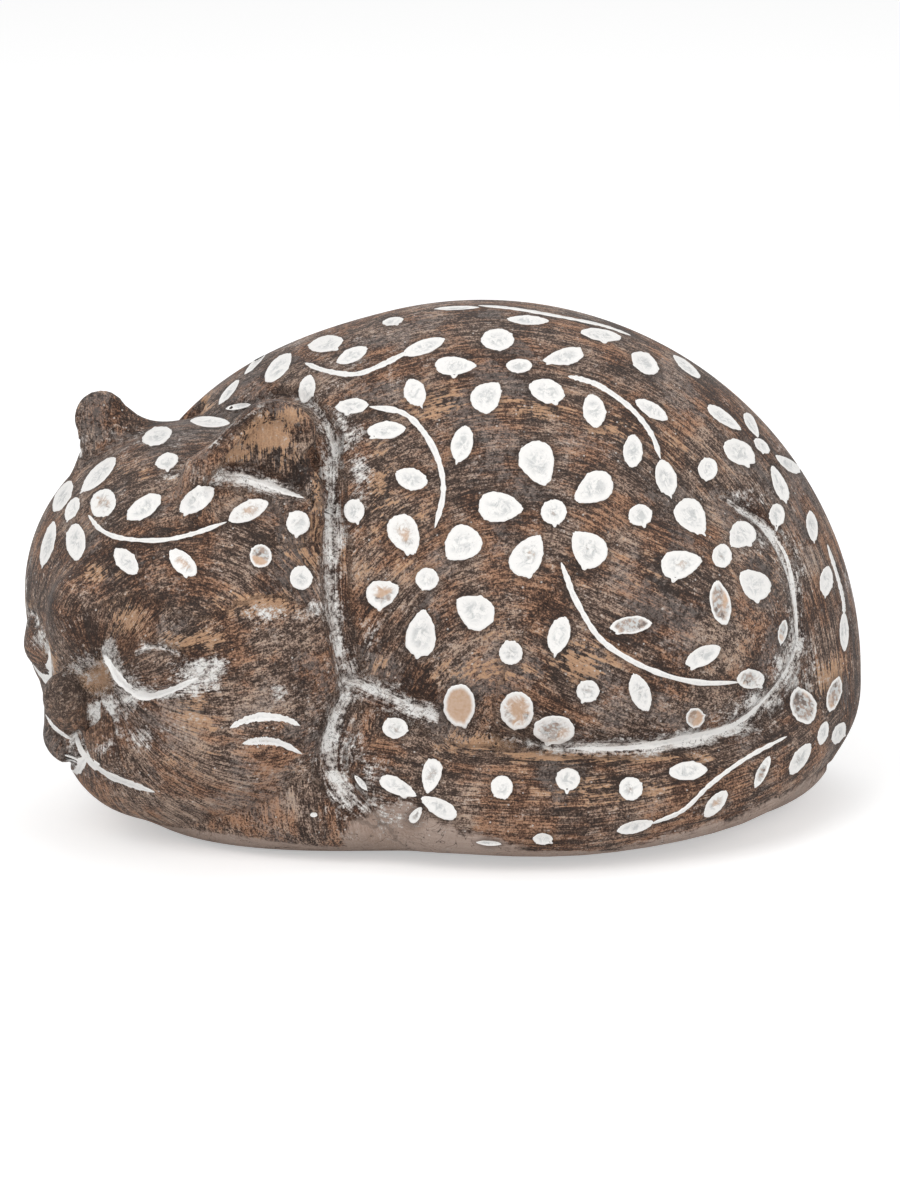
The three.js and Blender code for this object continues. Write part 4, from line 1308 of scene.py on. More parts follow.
ROUND = 96
TURNS = np.linspace(0, 2 * math.pi, ROUND, endpoint=False)
RING_SHARES = (0.97, 0.9, 0.8, 0.64, 0.42, 0.2)
RIM_PROFILE = (
    (0, -0.9), (0.42, -0.8), (0.64, -0.4), (0.8, 0.35), (0.9, 1.0), (0.97, 0.45), (1.0, -1.4),
)
EDGE_WAVES = (2, 3, 5, 8, 13, 21)
EDGE_WAVE_HEIGHTS = (0.005, 0.013)
NIB_COUNTS = (2, 7)
NIB_LENGTHS = (0.15, 0.6)
NIB_WIDTH = 1.5
# Half of the shapes have run a little at their lowest place, in a wider nib.
RUN_CHANCE = 0.5
RUN_LENGTH = 1.3
RUN_WIDTH = 2.2
SHAPE_ROOT = -0.5
STRIP_ACROSS = np.array((-1.0, -0.82, -0.45, 0.0, 0.45, 0.82, 1.0))
STRIP_CROWN = np.array((-1.3, 0.45, 1.05, 0.95, 1.05, 0.45, -1.3))
STRIP_THICKNESS = 0.0004
# A line's width: at how many places it wavers and by what share, over what share of its length
# it tapers, and what share of it a line of the face has at its ends. It is narrower where the
# surface faces the view by less than one share, down to another.
WAVER_PLACES = 49
WAVER = 0.24
TAPER = 0.1
FACE_LINE_ENDS = 0.45
NARROW_BELOW = 0.5
NARROWEST = 0.3
# In millimetres: how far over a point a view looks for it, how far a ray may miss a shape's or
# a line's own depth, and how thick the outer skin is where the casting's hollow is left out.
PROBE_HEIGHT = 0.7
SHAPE_REACH = 9
LINE_REACH = 60
OUTER_SKIN = 0.8
# A shape is hidden from the front where fewer than this share of its sampled points, raised by
# this many millimetres, are seen from there.
SAMPLING = 16
SAMPLE_HEIGHT = 0.3
SHARE_SEEN = 0.2

# Grooves: how far off a point can lie, the share of the length over which an end runs out, the
# least wash that steers the brush strokes, and the wash's bright core and the haze beside it,
# each with its strength and its width in shares of the groove's own.
GROOVE_REACH = 6
RUN_OUT = 0.14
STEERING_WASH = 0.12
GROOVE_WASH = ((0.66, 0.6), (0.62, 1.8))
# The cut under a shape ends within its edge, and a ring of painted shade, for the shade of the
# recess's edge, lies outside that.
CUT_SHARE = 0.86
CUT_SLOPE = 0.3
SHAPE_HALO = 0.55
STEM_HALO = 0.4
STEM_HALO_STRENGTH = 0.8
# The smooth foot: its upper edge all round, how far and how often that waves, and how soft it
# is there and inside the outlines that the front shows.
FOOT_EDGE = 4.6
FOOT_WAVE = 0.9
FOOT_WAVE_LENGTH = 9
FOOT_SOFTNESS = 1.2
FRONT_FOOT_SOFTNESS = 3.4

# Brush strokes. On the back and on the crown they run in rings round a place that the camera
# sees, given by its x and its rise. On the haunch they slant, and on the face they fan out.
BACK_MIDDLE = (12, 8)
BACK_RADII = (65, 85)
BACK_SCALE = (75, 80)
CROWN_MIDDLE = (-47, 26)
CROWN_SCALE = (32, 1)
CROWN_EDGE = 11
HAUNCH_SLANT = np.array(((0.9, 0.44, 0.0), (0.0, 0.0, 1.0), (-0.44, 0.9, 0.0)))
HAUNCH_EDGE = -13
FACE_FAN = 42


def steps_from(place):
    """How many steps round the edge lie between each of its places and the given one."""
    return np.abs((np.arange(ROUND) - place + ROUND // 2) % ROUND - ROUND // 2)


def outline(kind, length, width, turn, sizes, seed):
    """The edge of a filled shape, round its own middle, with small irregularities."""
    chance = np.random.default_rng(seed)
    s = np.cos(TURNS)
    y = np.sin(TURNS)
    if kind == "petal":
        y = y * (0.84 + 0.16 * s) * ((1 + s) / 2 + 1e-6) ** 0.13
    elif kind == "leaf":
        y = y * np.abs(y) ** 0.28
    y = y / np.abs(y).max()
    edge = np.stack((s * length / 2, y * width / 2), 1)
    wave = sum(
        chance.uniform(*EDGE_WAVE_HEIGHTS) * np.sin(k * TURNS + chance.uniform(0, 6.3))
        for k in EDGE_WAVES
    )
    edge = edge * (1 + wave)[:, None]
    c, n = math.cos(turn), math.sin(turn)
    edge = edge @ np.array(((c, n), (-n, c)))
    nib = sizes.nib / MM * min(1, width / 3)
    away = edge / np.maximum(np.sqrt((edge**2).sum(1)), 1e-6)[:, None]
    for _ in range(int(chance.integers(*NIB_COUNTS))):
        step = steps_from(int(chance.integers(0, ROUND)))
        length = nib * chance.uniform(*NIB_LENGTHS)
        edge = edge + away * (length * np.exp(-((step / NIB_WIDTH) ** 2)))[:, None]
    if chance.random() < RUN_CHANCE:
        step = steps_from(int(np.argmin(edge[:, 1] + 0.5 * chance.uniform(-1, 1) * edge[:, 0])))
        edge = edge + away * (nib * RUN_LENGTH * np.exp(-((step / RUN_WIDTH) ** 4)))[:, None]
    return edge


def hidden_from_front(places, normals):
    """Whether the front view, which has its own ornament, sees hardly any of these places."""
    probes = places[::SAMPLING] + normals[::SAMPLING] * SAMPLE_HEIGHT
    return kept["surface"].seen(FRONT, probes).mean() < SHARE_SEEN


def shapes_of(kind):
    """Every filled shape of a kind: layout, kind, u, v, length, width, turn and white lost."""
    found = []
    for layout in LAYOUTS:
        if kind == "leaf":
            for u, v, length, width, turn, *bare in LEAVES.get(layout, ()):
                found.append((layout, "leaf", u, v, length, width, math.radians(turn), *bare))
        elif kind == "dot":
            for u, v, width, height, *bare in DOTS.get(layout, ()):
                found.append((layout, "dot", u, v, width, height, 0.0, *bare))
        else:
            for (cu, cv, width, height, *lost), petals in FLOWERS.get(layout, ()):
                if width:
                    found.append((layout, "dot", cu, cv, width, height, 0.0, *lost))
                for u, v, length, width, *bare in petals:
                    turn = math.atan2(v - cv, u - cu)
                    found.append((layout, "petal", u, v, length, width, turn, *bare))
    return [shape if len(shape) == 8 else shape + (0.0,) for shape in found]


def line_points(points, steps=48):
    return smooth_line([(u, v, 0) for u, v in points], steps)[:, :2]


def off_line(uv, line):
    """How far each place is from a line, the way to it, and how far along the line that is."""
    least = np.full(len(uv), np.inf)
    along = np.zeros(len(uv))
    way = np.zeros_like(uv)
    for i in range(len(line) - 1):
        a = line[i + 1] - line[i]
        q = uv - line[i]
        t = np.clip(q @ a / max(a @ a, 1e-9), 0, 1)
        off = q - t[:, None] * a
        d = np.sqrt((off**2).sum(1))
        closer = d < least
        least = np.where(closer, d, least)
        along = np.where(closer, (i + t) / (len(line) - 1), along)
        way[closer] = off[closer]
    return least, way / np.maximum(least, 1e-6)[:, None], along


def in_box(uv, line, margin):
    return ((uv > line.min(0) - margin) & (uv < line.max(0) + margin)).all(1)


def hump(d, width):
    return np.exp(-((d / width) ** 2))


def carved(points, normals, seen, sizes):
    """The depth cut at each point, the white wash left there, and places along the cut."""
    depth = np.zeros(len(points))
    wash = np.zeros(len(points))
    strokes = np.zeros((len(points), 3))
    for layout, grooves in GROOVES.items():
        view = LAYOUTS[layout]
        uv = view.flat(points)
        for line, half, deep, white, runs_out in grooves.values():
            line = line_points(line)
            near = np.flatnonzero(seen[layout] & in_box(uv, line, GROOVE_REACH))
            if not len(near):
                continue
            d, way, along = off_line(uv[near], line)
            lean = (way @ np.array((view.right, view.up)) * normals[near]).sum(1)
            d = d / np.sqrt(np.maximum(1 - lean**2, 0.12))
            ends = np.ones(len(near))
            for open_end, share in zip(runs_out, (along, 1 - along)):
                if open_end:
                    ends = ends * ease(share / RUN_OUT + 0.1)
            depth[near] += sizes.groove * deep * hump(d, half) * ends
            amount = np.interp(along, np.linspace(0, 1, len(white)), white) * ends
            amount = amount * sum(high * hump(d, wide * half) for high, wide in GROOVE_WASH)
            stronger = amount > np.maximum(wash[near], STEERING_WASH)
            length = np.sqrt((np.diff(line, axis=0) ** 2).sum(1)).sum()
            side = np.sign(way[:, 0] + 0.3 * way[:, 1])
            places = np.stack((along * length, d * side, 0 * d), 1)
            strokes[near[stronger]] = places[stronger]
            wash[near] = np.maximum(wash[near], amount)
    return depth, wash, strokes


def raised(points, seen):
    """How high the parts of the face stand over the skin, and where the nose is."""
    height = np.zeros(len(points))
    nose = np.zeros(len(points))
    for layout in ("front", "far"):
        uv = LAYOUTS[layout].flat(points)
        for number, (u, v, ru, rv, turn, high) in enumerate(FRONT_SWELLS):
            c, n = math.cos(math.radians(turn)), math.sin(math.radians(turn))
            q = (uv - (u, v)) @ np.array(((c, -n), (n, c))) / (ru, rv)
            r = (q**2).sum(1)
            height = np.maximum(height, high * np.clip(1 - r, 0, 1) ** 0.8 * seen[layout])
            if number == NOSE_SWELL:
                nose = np.maximum(nose, ease((1.12 - r) / 0.3) * seen[layout])
    return height, nose


def within(uv, ring):
    """How far inside a closed line each place is, in millimetres; below zero outside."""
    ring = np.array(ring)
    inside = np.zeros(len(uv), bool)
    for a, b in zip(ring, np.roll(ring, -1, 0)):
        crosses = (a[1] > uv[:, 1]) != (b[1] > uv[:, 1])
        with np.errstate(divide="ignore", invalid="ignore"):
            reach = a[0] + (uv[:, 1] - a[1]) / (b[1] - a[1]) * (b[0] - a[0])
        inside ^= crosses & (uv[:, 0] < reach)
    far = off_line(uv, np.vstack((ring, ring[:1])))[0]
    return np.where(inside, far, -far)


def ear_hollow(points, seen):
    """How far into the hollow of an ear each point is, from nought at its edge to one."""
    hollow = np.zeros(len(points))
    middle, reach = EAR_PLACE
    for layout in ("front", "far"):
        uv = LAYOUTS[layout].flat(points)
        own = np.flatnonzero(seen[layout] & (np.abs(uv - middle) < reach).all(1))
        depth = within(uv[own], EAR_HOLLOW) / EAR_HOLLOW_SLOPE
        hollow[own] = np.maximum(hollow[own], ease(depth))
    return hollow


def smooth_foot(points, seen):
    """Where the smooth band round the foot is: one on it, and nought above."""
    uv = FRONT.flat(points)
    wave = FOOT_WAVE * np.sin(points[:, 0] / FOOT_WAVE_LENGTH)
    foot = ease((FOOT_EDGE + wave - points[:, 2]) / FOOT_SOFTNESS)
    own = np.flatnonzero(seen["front"] & (uv[:, 1] < FOOT_TOP))
    for ring in FRONT_FOOT:
        inside = within(uv[own], ring) / FRONT_FOOT_SOFTNESS
        foot[own] = np.maximum(foot[own], ease(inside + 0.45))
    return foot


def patches(points, seen, table):
    """The strength of the strongest soft oval spot at each point."""
    level = np.zeros(len(points))
    for layout, spots in table.items():
        uv = LAYOUTS[layout].flat(points)
        for u, v, ru, rv, strength in spots:
            near = ((uv - (u, v)) / (ru, rv)) ** 2
            own = strength * np.exp(-near.sum(1)) * seen[layout]
            level = np.where(np.abs(own) > np.abs(level), own, level)
    return level


def under_shapes(points, seen, sizes):
    """How far each point is cut away under a filled shape, and how near it is to an edge."""
    cut = np.zeros(len(points))
    halo = np.zeros(len(points))
    flat = {name: view.flat(points) for name, view in LAYOUTS.items()}
    shown = {name: own if name == "front" else own & ~seen["front"] for name, own in seen.items()}
    shapes = shapes_of("leaf") + shapes_of("dot") + shapes_of("petal")
    for layout, kind, u, v, length, width, turn, _ in shapes:
        q = flat[layout] - (u, v)
        near = shown[layout] & (np.abs(q) < max(length, width) / 2 + 2).all(1)
        if not near.any():
            continue
        q = q[near]
        edge = outline(kind, length, width, turn, sizes, sizes.seed)
        angles = np.arctan2(edge[:, 1], edge[:, 0])
        order = np.argsort(angles)
        radii = np.sqrt((edge[order] ** 2).sum(1))
        turns = np.arctan2(q[:, 1], q[:, 0])
        reach = np.interp(turns, angles[order], radii, period=2 * math.pi)
        away = np.sqrt((q**2).sum(1))
        cut[near] = np.maximum(cut[near], ease((CUT_SHARE - away / reach) / CUT_SLOPE))
        off = np.maximum(away - reach, 0)
        halo[near] = np.maximum(halo[near], np.exp(-(off**2) / SHAPE_HALO))
    for layout, stems in STEMS.items():
        for width, _, line in stems:
            line = line_points(line)
            near = shown[layout] & in_box(flat[layout], line, 2)
            if near.any():
                d = np.maximum(off_line(flat[layout][near], line)[0] - width / 2, 0)
                # A ring of painted shade along each stem's edges.
                stained = STEM_HALO_STRENGTH * np.exp(-(d**2) / STEM_HALO)
                halo[near] = np.maximum(halo[near], stained)
    return cut, halo


def rise(q):
    """How high each place stands, as the camera sees it."""
    return q[:, 2] * 0.966 + q[:, 1] * 0.26


def ringed(x, up, depth, scale):
    """Places round and across rings, from the way right and up from their middle."""
    round_it, across = np.arctan2(x, up) * scale[0], np.sqrt(x**2 + up**2) * scale[1]
    return np.stack((round_it, across, depth), 1)


def stroke_places(q):
    """Places along and across the brush strokes, which run with each mass of the form."""
    tail_field, along, nearest = tail(q)
    off = q - nearest
    head_field = bare_head(q)
    near_ear, far_ear = ears(q)
    x, up = q[:, 0] - BACK_MIDDLE[0], rise(q) - BACK_MIDDLE[1]
    places = ringed(x / BACK_RADII[0], up / BACK_RADII[1], q[:, 1], BACK_SCALE)
    right_of_edge = x > HAUNCH_EDGE + 2 * np.sin(up / 5)
    on_haunch = (egg(q, HAUNCH_MIDDLE, HAUNCH_RADII) < 0.6) & right_of_edge
    places[on_haunch] = (q @ HAUNCH_SLANT)[on_haunch]
    on_tail = tail_field < trunk(q) - 0.2
    places[on_tail] = np.stack((along, off[:, 2] * 1.4, off[:, 0] * 0.5 + off[:, 1]), 1)[on_tail]
    from_nose = q - on_head(0.2, 1.0, 0.2)
    far = np.maximum(np.sqrt((from_nose**2).sum(1)), 1)
    aim = from_nose / far[:, None]
    fan = np.stack((far, aim @ SIDEWAYS * FACE_FAN, aim @ UPWARDS * FACE_FAN), 1)
    on_face = head_field < np.minimum(trunk(q), tail_field)
    places[on_face] = fan[on_face]
    x, up = q[:, 0] - CROWN_MIDDLE[0], rise(q) - CROWN_MIDDLE[1]
    on_crown = on_face & (up + 2 * np.sin(q[:, 0] / 4) > CROWN_EDGE)
    places[on_crown] = ringed(x, up, q[:, 1], CROWN_SCALE)[on_crown]
    ear = np.minimum(near_ear, far_ear) < np.minimum(head_field, trunk(q)) - 0.1
    places[ear] = np.stack((q[:, 2], q[:, 0], q[:, 1]), 1)[ear] * 1.3
    return places


# The surface that the filled shapes are laid on, kept by the operator that makes the body.
kept = {}


def outer_form(sizes):
    """The casting's outer skin as fine squares, without its hollow."""
    source = frame["nodes"]["body_casting"]
    body = bpy.data.objects.new("figurine_body", source.data.copy())
    bpy.context.collection.objects.link(body)
    shape = bmesh.new()
    shape.from_mesh(body.data)
    bmesh.ops.remove_doubles(shape, verts=shape.verts, dist=1e-6)
    places = np.array([v.co for v in shape.verts]) / MM - FORM_OFFSET
    hidden = (skin(places) < -OUTER_SKIN) & (places[:, 2] > UNDERSIDE + 0.05)
    shape.verts.ensure_lookup_table()
    gone = [shape.verts[i] for i in np.flatnonzero(hidden)]
    bmesh.ops.delete(shape, geom=gone, context="VERTS")
    bmesh.ops.holes_fill(shape, edges=shape.edges, sides=0)
    bmesh.ops.recalc_face_normals(shape, faces=shape.faces)
    shape.to_mesh(body.data)
    shape.free()
    body.data.materials.clear()
    remesh = body.modifiers.new("even squares", "REMESH")
    remesh.mode = "VOXEL"
    remesh.voxel_size = sizes.cell
    apply_all(body)
    move_points(body.data, drawn_onto(standing_skin, points_of(body.data) / MM, 4) * MM)
    return body


def add_cutter(middle, half_length, half_depth, low, high, sides=96):
    deselect()
    place = (middle[0], middle[1], (low + high) / 2)
    bpy.ops.mesh.primitive_cylinder_add(vertices=sides, radius=1, depth=high - low, location=place)
    cutter = bpy.context.active_object
    cutter.scale = (half_length, half_depth, 1)
    bpy.ops.object.transform_apply(location=True, rotation=True, scale=True)
    return cutter


def middle_of(node):
    low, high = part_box(node)
    return (Vector(low) + Vector(high)) / 2, (Vector(high) - Vector(low)) / 2


FELT_NODES = (
    "felt_disc_front_left",
    "felt_disc_front_right",
    "felt_disc_rear_left",
    "felt_disc_rear_right",
)
# In metres: the gap round what sits in the body, the ledge that the plate rests on, how far
# the cutters start below the body, and how deep the opening over the plate is cut.
SEAT_GAP = 0.0003
LEDGE = 0.004
BELOW = 0.002
OPENING = 0.008


def cut_base(body):
    """The seat of the plate, the opening over it and the sockets of the felt discs."""
    middle, half = middle_of("base_plate")
    top = middle.z + half.z
    cutters = [
        add_cutter(middle, half.x + SEAT_GAP, half.y + SEAT_GAP, -BELOW, top + SEAT_GAP),
        add_cutter(middle, half.x - LEDGE, half.y - LEDGE, top - 0.001, top + OPENING),
    ]
    for node in FELT_NODES:
        middle, half = middle_of(node)
        sizes = (half.x + SEAT_GAP, half.y + SEAT_GAP, -BELOW, 2 * half.z + SEAT_GAP)
        cutters.append(add_cutter(middle, *sizes, 48))
    for cutter in cutters:
        cut = body.modifiers.new("cut", "BOOLEAN")
        cut.operation = "DIFFERENCE"
        cut.solver = "MANIFOLD"
        cut.object = cutter
    apply_all(body)
    for cutter in cutters:
        bpy.data.objects.remove(cutter)
    triangles = body.modifiers.new("triangles", "TRIANGULATE")
    triangles.min_vertices = 4
    apply_all(body)


def blank_disc():
    """A disc of rings with a closed underside, which every filled shape is copied from."""
    deselect()
    bpy.ops.mesh.primitive_circle_add(vertices=ROUND, radius=1, fill_type="NGON")
    disc = bpy.context.active_object
    bpy.ops.object.mode_set(mode="EDIT")
    bpy.ops.mesh.select_all(action="SELECT")
    last = 1.0
    for share in RING_SHARES:
        bpy.ops.mesh.inset(thickness=(last - share) * math.cos(math.pi / ROUND), depth=0)
        last = share
    bpy.ops.mesh.poke()
    bpy.ops.object.mode_set(mode="OBJECT")
    shape = bmesh.new()
    shape.from_mesh(disc.data)
    rim = [e for e in shape.edges if e.is_boundary]
    under = shape.verts.new((0, 0, -1))
    for edge in rim:
        a, b = edge.verts
        if (b.co - a.co).cross(a.co).z > 0:
            a, b = b, a
        shape.faces.new((b, a, under))
    bmesh.ops.recalc_face_normals(shape, faces=shape.faces)
    shape.to_mesh(disc.data)
    shape.free()
    return disc


def taken_apart(obj):
    """The points and faces of a blank, which is then removed."""
    points = points_of(obj.data)
    faces = [tuple(polygon.vertices) for polygon in obj.data.polygons]
    bpy.data.objects.remove(obj)
    return points, faces


class Pile:
    """Copies of a blank, each laid on the surface, that become one piece."""

    def __init__(self, faces):
        self.blank_faces = faces
        self.points, self.faces, self.share, self.bare = [], [], [], []

    def add(self, layout, points, share, bare):
        first = sum(len(own) for own in self.points)
        self.points.append(points * MM)
        for face in self.blank_faces:
            ring = [i + first for i in face]
            self.faces.append(ring[::-1] if LAYOUTS[layout].turned else ring)
        self.share.append(share)
        self.bare.append(np.broadcast_to(bare, len(share)))

    def piece(self, name):
        mesh = bpy.data.meshes.new(name)
        mesh.from_pydata(np.concatenate(self.points).tolist(), [], self.faces)
        mesh.update()
        store(mesh, share=np.concatenate(self.share), bare=np.concatenate(self.bare))
        obj = bpy.data.objects.new(name, mesh)
        bpy.context.collection.objects.link(obj)
        return obj


def on_surface(layout, uv, groups, reach):
    """Places and normals on the surface; a ray that slips past an edge is brought back."""
    if "surface" not in kept:
        raise RuntimeError("Make the body before what lies on it")
    surface = kept["surface"]
    view = LAYOUTS[layout]
    places, normals = surface.cast(view, uv)
    depth = (places - view.eye) @ view.back
    for group in np.unique(groups):
        own = np.flatnonzero(groups == group)
        middle = np.median(depth[own])
        for i in own[np.abs(depth[own] - middle) > reach]:
            ray = view.rays(uv[i : i + 1])[0]
            guess = view.eye + ray * (middle / (ray @ view.back))
            places[i], normals[i] = surface.tree.find_nearest(Vector(guess))[:2]
    return places, normals


def filled_shapes(name, kind, sizes):
    """All the filled shapes of a kind, laid on the surface as one piece."""
    blank, faces = taken_apart(blank_disc())
    pile = Pile(faces)
    shares = np.sqrt((blank[:, :2] ** 2).sum(1))
    turns = np.arctan2(blank[:, 1], blank[:, 0]) % (2 * math.pi)
    steps = np.rint((turns - turns[0]) / (2 * math.pi) * ROUND).astype(int) % ROUND
    start = int(round(turns[0] / (2 * math.pi) * ROUND))
    steps = (steps + start) % ROUND
    lift = np.interp(shares, *zip(*RIM_PROFILE)) * sizes.rim / MM
    height = np.where(blank[:, 2] < -0.5, SHAPE_ROOT, lift)
    for layout in LAYOUTS:
        own = [shape for shape in shapes_of(kind) if shape[0] == layout]
        if not own:
            continue
        uv = []
        for _, form, u, v, length, width, turn, _ in own:
            seed = sizes.seed + int(abs(u * 31 + v * 17))
            edge = outline(form, length, width, turn, sizes, seed)
            uv.append(np.array((u, v)) + edge[steps] * shares[:, None])
        groups = np.repeat(np.arange(len(own)), len(blank))
        places, normals = on_surface(layout, np.concatenate(uv), groups, SHAPE_REACH)
        for number, shape in enumerate(own):
            part = slice(number * len(blank), (number + 1) * len(blank))
            if layout != "front" and not hidden_from_front(places[part], normals[part]):
                continue
            pile.add(layout, places[part] + normals[part] * height[:, None], shares, shape[-1])
    return pile.piece(name)


def filled_lines(name, table, sizes, steps=72):
    """Narrow filled lines, each a strip that tapers to its ends and has a rounded top."""
    stems = name == "white_stems"
    crown = STRIP_CROWN * sizes.rim / MM
    columns = len(STRIP_ACROSS) - 1
    deselect()
    bpy.ops.mesh.primitive_grid_add(x_subdivisions=columns, y_subdivisions=steps, size=2)
    blank, faces = taken_apart(bpy.context.active_object)
    pile = Pile(faces)
    column = np.rint((blank[:, 0] + 1) / 2 * columns).astype(int)
    share = (blank[:, 1] + 1) / 2
    for layout, lines in table.items():
        for number, (width, bare, points) in enumerate(lines):
            chance = np.random.default_rng(sizes.seed + number)
            line = line_points(points, steps)
            at = share * steps
            k = np.minimum(at.astype(int), steps - 1)
            middle = line[k] + (line[k + 1] - line[k]) * (at - k)[:, None]
            along = np.gradient(line, axis=0)
            along = along / np.sqrt((along**2).sum(1))[:, None]
            side = np.stack((along[:, 1], -along[:, 0]), 1)[np.rint(at).astype(int)]
            knots = np.linspace(0, 1, WAVER_PLACES)
            rough = 1 + WAVER * np.interp(share, knots, chance.uniform(-1, 1, WAVER_PLACES))
            taper = np.minimum(1, np.sqrt(np.minimum(share, 1 - share) / TAPER + 0.004))
            wider = FACE_LINE_ENDS + (1 - FACE_LINE_ENDS) * np.sin(np.pi * share)
            swell = taper if stems else taper * wider
            half = width / 2 * swell * rough
            one_group = np.zeros(len(middle))
            normals = on_surface(layout, middle, one_group, LINE_REACH)[1]
            facing = np.abs(normals @ LAYOUTS[layout].back)
            half = half * np.clip(facing / NARROW_BELOW, NARROWEST, 1)
            uv = middle + side * (half * STRIP_ACROSS[column])[:, None]
            places, normals = on_surface(layout, uv, one_group, LINE_REACH)
            if stems and layout != "front" and not hidden_from_front(places, normals):
                continue
            height = crown[column] * np.minimum(1, taper + 0.2)
            edge = 0.55 + 0.45 * np.abs(STRIP_ACROSS[column])
            lost = bare * np.clip(1.6 - 1.6 * share, 0, 1)
            pile.add(layout, places + normals * height[:, None], edge, lost)
    obj = pile.piece(name)
    wall = obj.modifiers.new("thickness", "SOLIDIFY")
    wall.thickness = STRIP_THICKNESS
    wall.offset = -1
    apply_all(obj)
    return obj


def dressed(obj, material):
    """Smooth, with its finish on, and riding with the figurine."""
    give(obj, material)
    make_active(obj)
    bpy.ops.object.shade_smooth()
    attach(obj, "root")


def in_white(obj, context):
    paste = bpy.data.materials.get("white paste") or white_finish(context.scene.cat_colours)
    dressed(obj, paste)


class CAT_OT_body(bpy.types.Operator):
    """Make the figurine's body: the casting's outer form, carved, stained and washed"""

    bl_idname = "cat.body"
    bl_label = "Body"

    def execute(self, context):
        sizes = context.scene.cat_sizes
        body = outer_form(sizes)
        cut_base(body)
        mesh = body.data
        points = points_of(mesh) / MM
        normals = normals_of(mesh)
        uncarved = Skin(body)
        probes = points + normals * PROBE_HEIGHT
        seen = {name: uncarved.seen(view, probes) for name, view in LAYOUTS.items()}
        depth, wash, strokes = carved(points, normals, seen, sizes)
        height, nose = raised(points, seen)
        hollow = ear_hollow(points, seen)
        points = points + normals * (height - depth - EAR_HOLLOW_DEPTH * hollow)[:, None]
        low, high = np.array(CAD_BOX) / MM
        points = np.clip(points, low + BOX_MARGIN, high - BOX_MARGIN)
        move_points(mesh, points * MM)
        kept["surface"] = Skin(body)

        cut, halo = under_shapes(points, seen, sizes)
        stroke = stroke_places(points - FORM_OFFSET)
        in_groove = wash > 0.2
        stroke[in_groove] = strokes[in_groove]
        move_points(mesh, (points - normals * (cut * sizes.recess / MM)[:, None]) * MM)
        # Besides wash and wear, these hold painted light and shade: the shade of the grooves, the
        # ring of painted shade round the filled shapes, and the tone patches of painted light and
        # shade.
        store(
            mesh,
            wash=np.maximum(wash, patches(points, seen, WASHES)) * (1 - nose),
            worn=patches(points, seen, WORN) * (1 - nose),
            shade=np.clip(depth, 0, 1),
            tone=patches(points, seen, STAIN_AND_PAINTED_LIGHT) * (1 - nose),
            hollow=hollow,
            dark=nose,
            halo=halo,
            foot=smooth_foot(points, seen),
            stroke=stroke,
        )
        dressed(body, stained_finish(context.scene.cat_colours, sizes))
        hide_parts("body_casting")
        return {"FINISHED"}


class CAT_OT_flowers(bpy.types.Operator):
    """Fill the petals and centres of the flowers with white paste"""

    bl_idname = "cat.flowers"
    bl_label = "Flowers"

    def execute(self, context):
        in_white(filled_shapes("white_flowers", "petal", context.scene.cat_sizes), context)
        return {"FINISHED"}


class CAT_OT_leaves(bpy.types.Operator):
    """Fill the leaves with white paste"""

    bl_idname = "cat.leaves"
    bl_label = "Leaves"

    def execute(self, context):
        in_white(filled_shapes("white_leaves", "leaf", context.scene.cat_sizes), context)
        return {"FINISHED"}


class CAT_OT_dots(bpy.types.Operator):
    """Fill the round dots with white paste"""

    bl_idname = "cat.dots"
    bl_label = "Dots"

    def execute(self, context):
        in_white(filled_shapes("white_dots", "dot", context.scene.cat_sizes), context)
        return {"FINISHED"}


class CAT_OT_stems(bpy.types.Operator):
    """Fill the curved stems with white paste"""

    bl_idname = "cat.stems"
    bl_label = "Stems"

    def execute(self, context):
        in_white(filled_lines("white_stems", STEMS, context.scene.cat_sizes), context)
        return {"FINISHED"}


class CAT_OT_face(bpy.types.Operator):
    """Fill the lines of the face, the haunch and the ear with white paste"""

    bl_idname = "cat.face"
    bl_label = "Face lines"

    def execute(self, context):
        in_white(filled_lines("white_face_lines", FACE_LINES, context.scene.cat_sizes), context)
        return {"FINISHED"}


class CAT_OT_base(bpy.types.Operator):
    """Finish the plate that closes the casting and the plug in it"""

    bl_idname = "cat.base"
    bl_label = "Base plate and plug"

    def execute(self, context):
        colours = context.scene.cat_colours
        give(frame["nodes"]["base_plate"], plate_finish(colours))
        give(frame["nodes"]["filler_plug"], plug_finish(colours))
        return {"FINISHED"}


class CAT_OT_felt(bpy.types.Operator):
    """Finish the felt discs that the figurine stands on"""

    bl_idname = "cat.felt"
    bl_label = "Felt discs"

    def execute(self, context):
        felt = felt_finish(context.scene.cat_colours)
        for node in FELT_NODES:
            give(frame["nodes"][node], felt)
        return {"FINISHED"}


# The stage. Each lamp has its place and size in metres, and takes its power from a setting.

LAMPS = {
    "key light": ((-0.55, -0.75, 0.95), 0.8, "key"),
    "fill light": ((0.9, -0.5, 0.5), 0.8, "fill"),
    "top light": ((0.1, 0.3, 1.1), 0.9, "fill"),
    "low light": ((-0.15, -1.2, 0.28), 0.8, "low"),
}
LIT_PLACE = Vector((0, 0, 0.04))
WHITE = (1, 1, 1)
FLOOR_TONE = (0.86, 0.86, 0.86)
FLOOR_GLOW = 0.42
FLOOR_SIZE = 6


def faced(obj, place, way):
    """Put an object at a place, let it look a way, and add it to the scene."""
    obj.location = place
    obj.rotation_euler = Vector(way).to_track_quat("-Z", "Y").to_euler()
    bpy.context.collection.objects.link(obj)
    return obj


def add_lamp(name, place, size, power):
    lamp = bpy.data.lights.new(name, "AREA")
    lamp.shape = "DISK"
    lamp.size = size
    lamp.energy = power
    faced(bpy.data.objects.new(name, lamp), place, LIT_PLACE - Vector(place))


